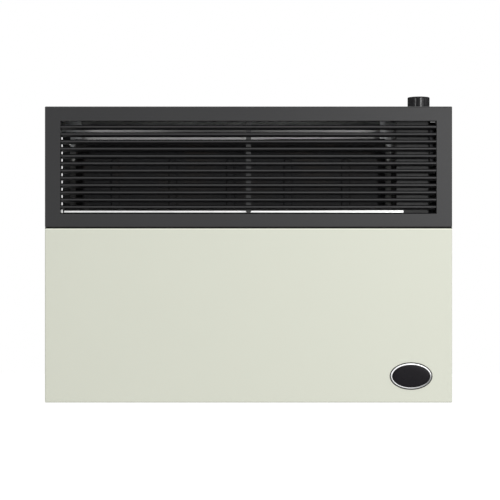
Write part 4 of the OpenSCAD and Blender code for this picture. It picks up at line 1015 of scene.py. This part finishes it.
NODE_FINISHES: dict[str, Finish] = {
    "upper_casing": Enamel(CHARCOAL, 0.4, 0.36, zones=(CASING_SEAM_PAINTED_SHADE, WINDOW_SILL_PAINTED_SHADE)),
    "louvre_blades": Enamel(CHARCOAL, 0.4, 0.36, zones=(BLADE_HEM_PAINTED_SHADE,)),
    "louvre_strap": Enamel((0.055, 0.055, 0.056), 0.45, 0.4),
    "top_deflector": PaintedReflectionSheet((0.95, 0.95, 0.94), zones=DEFLECTOR_FOOT_PAINTED_SHADE),
    "radiation_shield": Spangled((0.94, 0.94, 0.94), roughness=0.3, contrast=0.3,
                                 zones=SHIELD_EDGE_PAINTED_SHADE),
    "back_plate": Spangled(ZINC, zones=(BACK_PLATE_PAINTED_SHADE,)),
    "control_knob": PointerHighlighted(*BLACK_PLASTIC),
    # Dark painted die-cast; part of its darkness is painted shade for the corner where it shows
    "gas_valve_body": Worked((0.10, 0.10, 0.105), (0.07, 0.07, 0.07), 0.5, 0.45, 0.7, 0.03),
}


class Workshop:
    """Keeps the material of each slot and of the nodes with their own, and dresses the pieces."""

    def __init__(self) -> None:
        """Builds every finish once."""
        record = frame["record"]
        self.materials = {slot: finish.build(slot) for slot, finish in FINISHES.items()}
        self.own = {node: finish.build(node + "_finish") for node, finish in NODE_FINISHES.items()}
        self.slots = {row["node"]: row["material_slot"] for row in record["subparts"]}
        self.bodies = {node: body for body, nodes in record["behaviour"]["bodies"].items()
                       for node in nodes}

    def material_of(self, node: str) -> Material:
        """The finish of a CAD node: its own one, or else that of its slot."""
        return self.own.get(node) or self.materials[self.slots[node]]

    def dress_frame(self) -> None:
        """Gives each CAD node its finish."""
        for node, made in frame["nodes"].items():
            made.data.materials.clear()
            made.data.materials.append(self.material_of(node))

    def place(self, piece: Object, node: str) -> None:
        """Puts a piece in the place of a CAD node, on the node's body, and hides the node.

        Args:
            piece: The finished piece.
            node: The CAD node.
        """
        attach(piece, self.bodies[node])
        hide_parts(node)
        LOG.info("%s: %d faces in place of %s", piece.name, len(piece.data.polygons), node)


# ------------------------------------------------------------------ louvre


@dataclass
class Louvre:
    """The row of blades in the window."""

    count: int = 12
    lip: float = 3.2
    sheet: float = 1.2
    fall: float = 3.6
    hem: float = 2.2
    hem_lap: float = 0.2
    edge_flat: float = 0.02
    # Between the web and the hem: distances behind the hem, and heights over the web
    fillet: tuple[Pair, ...] = ((1.0, 0.0), (0.25, 0.1), (0.0, 0.45))
    tab_reach: float = 4.0
    tab_depth: float = 10.0
    tab_back: float = 2.0
    tab_lap: float = 0.2

    def build(self, shop: Workshop) -> None:
        """Makes the blades in place of their node.

        Args:
            shop: Where the finishes are kept.
        """
        low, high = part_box("louvre_blades")
        finish = shop.material_of("louvre_blades")
        blade = self._blade(low, high, finish)
        spare = self.lip + self.hem + self.fall
        tree = Repeat("louvre_rows")
        count = tree.size("Blades", self.count, "Int")
        pitch = tree.size("Pitch", (high.z - low.z - spare * MM) / (self.count - 1))
        first = tree.size("First Height", low.z + (self.lip / 2 + self.fall) * MM)
        line = tree.node("GeometryNodeMeshLine", {
            "Count": count, "Start Location": tree.vector(0.0, 0.0, first),
            "Offset": tree.vector(0.0, 0.0, pitch)}, mode="OFFSET")
        rows = tree.copies(line, tree.part("Blade", blade))
        piece = tree.bake("louvre_blade_row", rows, finish)
        bpy.data.objects.remove(blade)
        shop.place(piece, "louvre_blades")

    def _web(self, depth: float, deep: float) -> float:
        """The height of the web's lower side at a distance behind the blade's front."""
        start = self.sheet / 2
        return -self.lip / 2 - self.fall * (depth - start) / (deep - start)

    def _blade(self, low: Vector, high: Vector, finish: Material) -> Object:
        """One blade round z = 0: a rolled lip, a hem behind it, a falling web and two tabs.

        Args:
            low: The low corner of the blades' box, in metres.
            high: The high corner.
            finish: Its material.

        Returns:
            The blade.
        """
        half = high.x - self.tab_reach * MM
        deep = (high.y - low.y) / MM
        top, round_off = self.lip / 2, self.sheet / 2 - self.edge_flat
        hem_front = self.sheet - self.hem_lap
        hem_back = hem_front + self.sheet

        def over(y: float, gap: float = 0.0) -> Pair:
            """A point above the web's upper side."""
            return y, self._web(y, deep) + self.sheet + gap

        def bar(section: Sequence[Pair], *ends: float) -> list[Ring]:
            """A section drawn out along X between two ends."""
            return [[Vector((x, low.y + y * MM, z * MM)) for y, z in section] for x in ends]

        outline = [over(deep)] + [over(hem_back + back, gap) for back, gap in self.fillet]
        outline += arc(((hem_front + hem_back) / 2, top + self.hem - round_off), round_off,
                       0, 180, 6)
        outline += arc((self.sheet / 2, top - round_off), round_off, 46, 180, 7)
        outline += arc((self.sheet / 2, -top + round_off), round_off, 180, 260, 4)
        outline += [(deep, self._web(deep, deep))]
        maker = Maker().loft(bar(outline, -half, half))
        ends = (deep - self.tab_back - self.tab_depth, deep - self.tab_back)
        tab = [(y, self._web(y, deep)) for y in ends] + [over(y) for y in reversed(ends)]
        for side in (-1, 1):
            maker.loft(bar(tab, side * (half - self.tab_lap * MM), side * high.x))
        return maker.make("louvre_blade", finish)


# ------------------------------------------------------------------ fasteners


class Fixing(NamedTuple):
    """A CAD node of fasteners: whether each has a head, or else is a stud, and a nut."""

    node: str
    head: bool
    nut: bool


FIXINGS = (Fixing("seam_screws", True, True), Fixing("chassis_screws", True, False),
           Fixing("chamber_screws", True, False), Fixing("door_screws", True, False),
           Fixing("casing_foot_fixings", False, True), Fixing("louvre_fixings", False, True))


@dataclass
class Fasteners:
    """Pan head screws, weld studs and nuts, set where the frame has them."""

    head_radius: float = 4.0
    head_height: float = 2.6
    head_edge: float = 0.3
    seat_share: float = 0.96
    dome_share: float = 0.55
    crown_share: float = 0.3
    wide_share: float = 0.8
    shank_radius: float = 1.9
    shank_tip: float = 0.5
    threads: int = 7
    thread_depth: float = 0.28
    first_groove: float = 0.35
    # Heights of a crest's end and of the next root over a groove's place, on a shank of 1 m
    groove: Pair = (1.0, -45.0)
    nut_height: float = 3.2
    nut_edge: float = 0.35
    nut_face: float = 0.93
    nut_play: float = 0.02
    recess_length: float = 4.4
    recess_width: float = 1.0
    recess_depth: float = 1.3
    recess_foot: float = 0.45
    recess_over: float = 0.2
    seed: int = 7

    def build(self, shop: Workshop) -> None:
        """Makes every set of fasteners in place of its node.

        Args:
            shop: Where the finishes are kept.
        """
        finish = shop.materials["zinc_fasteners"]
        parts = {"Head": self._head(finish), "Shank": self._shank(finish),
                 "Nut": self._nut(finish)}
        for fixing in FIXINGS:
            shop.place(self._set(fixing, parts, finish), fixing.node)
        for part in parts.values():
            bpy.data.objects.remove(part)

    def _points(self, fixing: Fixing) -> Mesh:
        """A point at each head's seat, with the axis, the length and the nut as attributes.

        Args:
            fixing: The CAD node of the fasteners, and what they have.

        Returns:
            A mesh of loose points.
        """
        seats, axes, lengths, nuts = [], [], [], []
        for points in solids(fixing.node):
            low, high = (Vector([end(p[i] for p in points) for i in range(3)])
                         for end in (min, max))
            extent, middle = high - low, (low + high) / 2
            along = max(range(3), key=lambda i: abs(extent[i] - 2 * self.head_radius * MM))
            others = [i for i in range(3) if i != along]
            wide = [p[along] for p in points if sum((p[i] - middle[i]) ** 2 for i in others)
                    > (self.wide_share * self.head_radius * MM) ** 2]
            seat_low = min(wide) - low[along] < high[along] - max(wide)
            axis, seat, length = Vector((0, 0, 0)), middle.copy(), extent[along]
            axis[along] = -1 if seat_low else 1
            seat[along] = low[along] if seat_low else high[along]
            if fixing.head:
                seat -= axis * self.head_height * MM
                length -= self.head_height * MM
            far = max(wide) if seat_low else min(wide)
            seats.append(seat)
            axes.append(axis)
            lengths.append(length)
            nuts.append(abs(far - seat[along]) if fixing.nut else 0.0)
        mesh = bpy.data.meshes.new(fixing.node + "_seats")
        mesh.from_pydata(seats, [], [])
        for name, kind, field, values in (("axis", "FLOAT_VECTOR", "vector", axes),
                                          ("length", "FLOAT", "value", lengths),
                                          ("nut", "FLOAT", "value", nuts)):
            layer = mesh.attributes.new(name, kind, "POINT")
            for item, value in zip(layer.data, values):
                setattr(item, field, value)
        return mesh

    def _set(self, fixing: Fixing, parts: dict[str, Object], finish: Material) -> Object:
        """Sets heads, shanks and nuts on the points, each turned at random about its axis.

        Args:
            fixing: The CAD node of the fasteners, and what they have.
            parts: The head, the shank and the nut, by name.
            finish: The material of all.

        Returns:
            The whole set.
        """
        tree = Repeat(fixing.node + "_set")
        shapes = {name: tree.part(name, part) for name, part in parts.items()}
        seed = tree.size("Seed", self.seed, "Int")
        axis = tree.attribute("axis", "FLOAT_VECTOR")
        aim = tree.node("FunctionNodeAlignRotationToVector", {"Vector": axis}, axis="Z")
        spin = tree.node("FunctionNodeRandomValue", {2: 0.0, 3: FULL_TURN, "Seed": seed},
                         data_type="FLOAT").of(1)
        own = tree.node("FunctionNodeAxisAngleToRotation", {"Axis": (0, 0, 1), "Angle": spin})
        turn = tree.node("FunctionNodeRotateRotation", {"Rotation": aim, "Rotate By": own},
                         rotation_space="LOCAL")
        size = tree.vector(1.0, 1.0, tree.attribute("length", "FLOAT"))
        made = [tree.copies(tree.points, shapes["Shank"], Rotation=turn, Scale=size)]
        if fixing.head:
            made.append(tree.copies(tree.points, shapes["Head"], Rotation=turn))
        if fixing.nut:
            down = tree.shade(axis, tree.attribute("nut", "FLOAT") * -1.0)
            seats = tree.node("GeometryNodeSetPosition", {"Geometry": tree.points, "Offset": down})
            made.append(tree.copies(seats, shapes["Nut"], Rotation=aim))
        return tree.bake(fixing.node + "_set", tree.join(made), finish, self._points(fixing))

    def _head(self, finish: Material) -> Object:
        """A pan head with a cross recess; it stands on z = 0.

        Args:
            finish: Its material.

        Returns:
            The head.
        """
        r, h = self.head_radius, self.head_height
        dome = h * self.dome_share
        profile = [(r * self.seat_share, 0), (r, self.head_edge), (r, h - dome),
                   *arc((r - dome, h - dome), dome, 15, 90, 5), (r * self.crown_share, h)]
        head = Maker().loft(turned(profile, 32)).make("screw_head_blank", finish)
        cross = Maker()
        ends = ((self.recess_foot, h - self.recess_depth), (1.0, h + self.recess_over))
        long, narrow = self.recess_length / 2, self.recess_width / 2
        for wide, deep in ((long, narrow), (narrow, long)):
            cross.loft([[Vector((x * wide * share, y * deep * share, z)) * MM for x, y in CORNERS]
                        for share, z in ends])
        tool = cross.make("screw_recess", finish)
        cut = head.modifiers.new("recess", "BOOLEAN")
        cut.operation = "DIFFERENCE"
        cut.solver = "EXACT"
        cut.use_self = True
        cut.object = tool
        made = plain_copy(head, "screw_head")
        for spare in (head, tool):
            bpy.data.objects.remove(spare)
        return made

    def _shank(self, finish: Material) -> Object:
        """A threaded shank from z = 0 down to z = -1 m, scaled to its real length later.

        Args:
            finish: Its material.

        Returns:
            The shank.
        """
        r, metre = self.shank_radius, 1 / MM
        crest_end, root = self.groove
        profile = [(0, 0.0), (r, 0.0)]
        for i in range(self.threads):
            place = -(i + self.first_groove) / self.threads * metre
            profile += [(r, place + crest_end), (r - self.thread_depth, place + root)]
        profile += [(r - self.shank_tip, -metre), (0, -metre)]
        return Maker().loft(turned(profile, 16)).make("screw_shank", finish)

    def _nut(self, finish: Material) -> Object:
        """A hexagon nut with turned corners; its seat is at z = 0 and it stands towards +Z.

        Args:
            finish: Its material.

        Returns:
            The nut.
        """
        r, h, edge = self.head_radius, self.nut_height, self.nut_edge
        face, bore = r * self.nut_face, self.shank_radius + self.nut_play
        profile = [(bore, 0), (face, 0), (r, edge), (r, h - edge), (face, h), (bore, h)]
        rings = turned(profile, 36, reach=hexagon(r, bore))
        return Maker().loft(rings, wrap=True).make("screw_nut", finish)


# ------------------------------------------------------------------ controls


def dished(radius: float, top: float, dish: Sequence[Pair]) -> list[Pair]:
    """The profile of a hollow in a round top, from shares of its radius and depths."""
    return [(radius * share, top - depth) for share, depth in dish]


@dataclass
class Controls:
    """The fluted knob and the igniter button on top of the casing."""

    flutes: int = 40
    flute_depth: float = 0.85
    flute_round: float = 0.7
    flute_run_out: float = 0.6
    samples: int = 8
    pointer_half: float = 14.5
    pointer_edge: float = 1.6
    pointer_sink: float = 0.35
    top_round: float = 1.3
    wall: float = 3.5
    skirt_edge: float = 0.5
    inner_edge: float = 0.4
    boss_radius: float = 7.0
    boss_rise: float = 2.0
    stem_radius: float = 4.05
    # A dish is made of shares of the radius, and depths under the top
    dish: tuple[Pair, ...] = ((0.8, 0.05), (0.72, 0.54), (0.6, 0.9), (0.2, 0.9), (0.0, 0.9))
    button_edge: float = 0.6
    button_round: float = 1.4
    button_dish: tuple[Pair, ...] = ((0.6, 0.35), (0.3, 0.6), (0.0, 0.7))

    def build(self, shop: Workshop) -> None:
        """Makes both in place of their nodes."""
        shop.place(self._knob(shop), "control_knob")
        shop.place(self._button(shop), "igniter_button")

    def _outline(self, radius: float) -> Reach:
        """Gives the fluted radius of the knob.

        Args:
            radius: The knob's own radius, in millimetres.

        Returns:
            A function of a ring's radius and an angle.
        """
        pointer = math.radians(POINTER_DEGREES)
        half, edge = math.radians(self.pointer_half), math.radians(self.pointer_edge)
        smooth_top = radius - self.top_round - self.flute_run_out

        def reach(ring: float, angle: float) -> float:
            """The ring's radius at an angle.

            Args:
                ring: The ring's own radius, in millimetres.
                angle: The angle, in radians.

            Returns:
                The knob's radius there.
            """
            if ring < smooth_top:
                return ring
            away = abs((angle - pointer + math.pi) % FULL_TURN - math.pi)
            share = min(1.0, max(0.0, (away - half) / edge))
            flute = (0.5 - 0.5 * math.cos(angle * self.flutes)) ** self.flute_round
            sunk = flute * share if share else self.pointer_sink
            strength = min(1.0, (ring - smooth_top) / self.top_round)
            return ring - strength * self.flute_depth * sunk

        return reach

    def _knob(self, shop: Workshop) -> Object:
        """A hollow cap with a boss inside, all in one closed skin.

        Args:
            shop: Where the finishes are kept.

        Returns:
            The knob.
        """
        middle, radius, foot, top = Upright.of("control_knob")
        inner, ceiling, boss_foot = radius - self.wall, top - self.wall, foot + self.boss_rise
        skirt, shoulder = foot + self.skirt_edge, top - self.top_round
        profile = [(0, ceiling), (self.stem_radius, ceiling), (self.stem_radius, boss_foot),
                   (self.boss_radius, boss_foot), (self.boss_radius, ceiling), (inner, ceiling),
                   (inner, foot + self.inner_edge), (inner + self.inner_edge, foot),
                   (radius - self.skirt_edge, foot), (radius, skirt)]
        profile += [(radius, skirt + (shoulder - skirt) * share) for share in (0.33, 0.66)]
        profile += arc((radius - self.top_round, shoulder), self.top_round, 0, 90, 6)
        profile += dished(radius, top, self.dish)
        rings = turned(profile, self.flutes * self.samples, middle, self._outline(radius))
        return Maker().loft(rings).make("fluted_knob", shop.material_of("control_knob"))

    def _button(self, shop: Workshop) -> Object:
        """A round push button with a dished top.

        Args:
            shop: Where the finishes are kept.

        Returns:
            The button.
        """
        middle, radius, foot, top = Upright.of("igniter_button")
        edge, soft = self.button_edge, self.button_round
        profile = [(0, foot), (radius - edge, foot), (radius, foot + edge), (radius, top - soft),
                   *arc((radius - soft, top - soft), soft, 15, 90, 5),
                   *dished(radius, top, self.button_dish)]
        made = Maker().loft(turned(profile, 48, middle))
        return made.make("push_button", shop.material_of("igniter_button"))


# ------------------------------------------------------------------ badge


@dataclass
class Badge:
    """The bare oval badge: a bright rolled rim round a domed black plate."""

    rim: float = 5.5
    base: float = 1.8
    ledge: float = 0.8
    groove: float = 0.3
    # Distances inside the plate's edge, and heights over the casing
    dome: tuple[Pair, ...] = (
        (0.0, 0.0), (0.0, 0.7), (0.5, 0.95), (4.0, 1.15), (9.0, 1.3), (15.0, 1.38))
    dome_top: float = 1.42
    plate_play: float = 0.1
    columns: int = 144
    pin_radius: float = 1.5
    pin_inset: float = 20.0

    def build(self, shop: Workshop) -> None:
        """Makes the rim and the plate in place of their nodes."""
        shop.place(self._rim(shop), "badge_rim_ring")
        shop.place(self._plate(shop), "badge_plate")

    def _rings(self, section: Sequence[Pair]) -> list[Ring]:
        """Oval rings on the casing.

        Args:
            section: The distance inside the badge's outline and the height over the casing of
                each ring, in millimetres.

        Returns:
            One ring for each point of the section.
        """
        low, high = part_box("badge_rim_ring")
        middle, half = (low + high) / 2, (high - low) / 2
        return [circle(self.columns, lambda a: Vector((
            middle.x + (half.x - inset * MM) * math.cos(a), high.y - height * MM,
            middle.z + (half.z - inset * MM) * math.sin(a)))) for inset, height in section]

    def _rim(self, shop: Workshop) -> Object:
        """A rim with a broad rounded crown, a ledge outside and a sharp edge inside.

        Args:
            shop: Where the finishes are kept.

        Returns:
            The rim.
        """
        low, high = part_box("badge_rim_ring")
        rise = (high.y - low.y) / MM - self.ledge
        half = (self.rim - self.base - self.groove) / 2
        section = [(0.0, 0.0), (0.0, 0.5), (0.25, 0.75), (self.base - 0.1, self.ledge)]
        section += [(inset, self.ledge + rise * height / half)
                    for inset, height in arc((self.base + half, 0.0), half, 180, 0, 12)]
        section += [(self.rim - 0.1, self.ledge), (self.rim, 0.6), (self.rim, 0.0)]
        made = Maker().loft(self._rings(section), wrap=True)
        piece = made.make("badge_rim_bright", shop.material_of("badge_rim_ring"))
        # The ledge and foot below the crown take the plate's black as painted shade
        piece.data.materials.append(shop.material_of("badge_plate"))
        crown_foot = high.y - (self.ledge + 0.01) * MM
        for face in piece.data.polygons:
            if min(piece.data.vertices[i].co.y for i in face.vertices) > crown_foot:
                face.material_index = 1
        return piece

    def _plate(self, shop: Workshop) -> Object:
        """A domed plate with two pins that go through the casing.

        Args:
            shop: Where the finishes are kept.

        Returns:
            The plate.
        """
        low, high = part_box("badge_rim_ring")
        pin_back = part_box("badge_plate")[1].y
        middle, edge = (low + high) / 2, self.rim + self.plate_play
        rings = self._rings([(edge + inset, height) for inset, height in self.dome])
        rings.append([Vector((middle.x, high.y - self.dome_top * MM, middle.z))])
        maker = Maker().loft(rings)
        reach, r = (high.x - low.x) / 2 - self.pin_inset * MM, self.pin_radius * MM
        for side in (-1, 1):
            maker.loft([circle(16, lambda a: Vector((
                middle.x + side * reach + r * math.cos(a), y, middle.z + r * math.sin(a))))
                for y in (high.y - 0.1 * MM, pin_back)])
        return maker.make("badge_plate_domed", shop.material_of("badge_plate"))


# ------------------------------------------------------------------ gas inlet


@dataclass
class GasInlet:
    """The threaded gas inlet with its hexagon above the shelf."""

    pitch: float = 1.814
    thread_depth: float = 1.0
    bore: float = 5.0
    sides: int = 48
    steps: int = 8
    shoulder: float = 1.2
    shoulder_wider: float = 1.0
    hex_height: float = 10.0
    hex_wider: float = 3.0
    # The chamfers: shares of the corner's radius, and heights
    hex_foot: Pair = (0.93, 0.6)
    hex_top: Pair = (0.92, 0.8)

    def build(self, shop: Workshop) -> None:
        """Makes the fitting in place of its node.

        Args:
            shop: Where the finishes are kept.
        """
        middle, corner, foot, top = Upright.of("gas_inlet_fitting")
        radius, seat = corner - self.hex_wider, top - self.hex_height
        neck = seat - self.shoulder
        rows = round((neck - foot) / self.pitch * self.steps)
        rings = turned([(self.bore, foot), (radius - self.thread_depth, foot)], self.sides, middle)
        for row in range(1, rows):
            height = foot + (neck - foot) * row / rows
            thread = self._thread(height, min(1.0, row / self.steps))
            rings += turned([(radius, height)], self.sides, middle, thread)
        collar = radius + self.shoulder_wider
        rings += turned([(radius, neck), (collar, neck), (collar, seat)], self.sides, middle)
        (foot_share, foot_edge), (top_share, top_edge) = self.hex_foot, self.hex_top
        rings += turned([(corner * foot_share, seat), (corner, seat + foot_edge),
                         (corner, top - top_edge), (corner * top_share, top), (self.bore, top)],
                        self.sides, middle, hexagon(corner, self.bore))
        made = Maker().loft(rings, wrap=True)
        piece = made.make("gas_inlet_threaded", shop.material_of("gas_inlet_fitting"))
        shop.place(piece, "gas_inlet_fitting")

    def _thread(self, height: float, share: float) -> Reach:
        """Gives the radius of the helical thread, whose ridge climbs with the angle.

        Args:
            height: The height of the ring, in millimetres.
            share: How far the thread has grown there, from 0 to 1.

        Returns:
            A function of a ring's radius and an angle.
        """
        def reach(ring: float, angle: float) -> float:
            """The ring's radius at an angle."""
            phase = (height / self.pitch - angle / FULL_TURN) % 1.0
            return ring - self.thread_depth * (1 - share * (1 - abs(2 * phase - 1)))

        return reach


# ------------------------------------------------------------------ stage


class Lamp(NamedTuple):
    """A square lamp that faces the object's middle: place and side in metres, and watts."""

    name: str
    place: Colour
    side: float
    watts: float


@dataclass
class Studio:
    """Floor, light and camera."""

    floor_height: float = -850.0
    floor_half: float = 7000.0
    floor_albedo: float = 0.8
    floor_glow: float = 0.55
    ambient: float = 0.61
    lamps: tuple[Lamp, ...] = (Lamp("key_lamp", (1.45, -3.0, 0.6), 1.9, 37.0),
                               Lamp("top_lamp", (-0.3, -1.6, 2.4), 1.6, 10.0))
    camera_distance: float = 3000.0
    photo_width: float = 1042.7
    photo_middle: Pair = (3.1, 9.4)
    sensor: float = 36.0

    def build(self) -> None:
        """Makes the whole stage."""
        self._world()
        self._floor()
        self._lights()
        self._camera()
        bpy.context.scene.view_settings.view_transform = "Standard"

    @staticmethod
    def _seen(tree: Tree) -> Signal:
        """1 for rays that show the background itself: from the camera, a gloss or a glass.

        Args:
            tree: The tree of a material or of the world.

        Returns:
            1 or 0.
        """
        path = tree.node("ShaderNodeLightPath")
        seen = path.of("Is Camera Ray") + path.of("Is Glossy Ray") + path.of("Is Transmission Ray")
        return tree.math("MINIMUM", seen, 1.0)

    def _world(self) -> None:
        """A plain white room."""
        world = bpy.data.worlds.new("studio")
        bpy.context.scene.world = world
        world.use_nodes = True
        tree = Tree(world.node_tree)
        strength = self._seen(tree) * (1 - self.ambient) + self.ambient
        light = tree.node("ShaderNodeBackground", {"Color": (1, 1, 1, 1), "Strength": strength})
        tree.node("ShaderNodeOutputWorld", {"Surface": light})

    def _floor(self) -> None:
        """A pale floor that keeps its shadows and looks white where it is lit."""
        tree = Shader("floor_paint")
        level = tree.noise(3.0).swing(0.02) + self.floor_albedo
        paint = tree.node("ShaderNodeBsdfDiffuse", {"Color": tree.shade((1.0, 1.0, 1.0), level)})
        glow = tree.node("ShaderNodeEmission", {"Strength": self._seen(tree) * self.floor_glow})
        both = tree.node("ShaderNodeAddShader", {0: paint, 1: glow})
        tree.node("ShaderNodeOutputMaterial", {"Surface": both})
        half, height = self.floor_half * MM, self.floor_height * MM
        mesh = bpy.data.meshes.new("floor")
        mesh.from_pydata([(x * half, y * half, height) for x, y in CORNERS], [], [(0, 1, 2, 3)])
        mesh.materials.append(tree.material)
        added("floor", mesh)

    def _lights(self) -> None:
        """One broad lamp in front at the right, and a weaker one above."""
        for lamp in self.lamps:
            data = bpy.data.lights.new(lamp.name, "AREA")
            data.size, data.energy = lamp.side, lamp.watts
            made = added(lamp.name, data)
            made.location = lamp.place
            made.rotation_euler = (-Vector(lamp.place)).to_track_quat("-Z", "Y").to_euler()

    def _camera(self) -> None:
        """The photograph's view: straight on, from a long way off."""
        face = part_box("upper_casing")[0].y
        data = bpy.data.cameras.new("camera")
        data.sensor_width = self.sensor
        data.lens = self.sensor * self.camera_distance / self.photo_width
        data.shift_x, data.shift_y = (part / self.photo_width for part in self.photo_middle)
        camera = added("camera", data)
        camera.location = (0, face - self.camera_distance * MM, 0)
        camera.rotation_euler = (math.pi / 2, 0, 0)
        bpy.context.scene.camera = camera


def main() -> None:
    logging.basicConfig(level=logging.INFO, format="%(name)s: %(message)s")
    shop = Workshop()
    shop.dress_frame()
    for part in (Louvre(), Fasteners(), Controls(), Badge(), GasInlet()):
        part.build(shop)
    Studio().build()


if __name__ == "__main__":
    main()
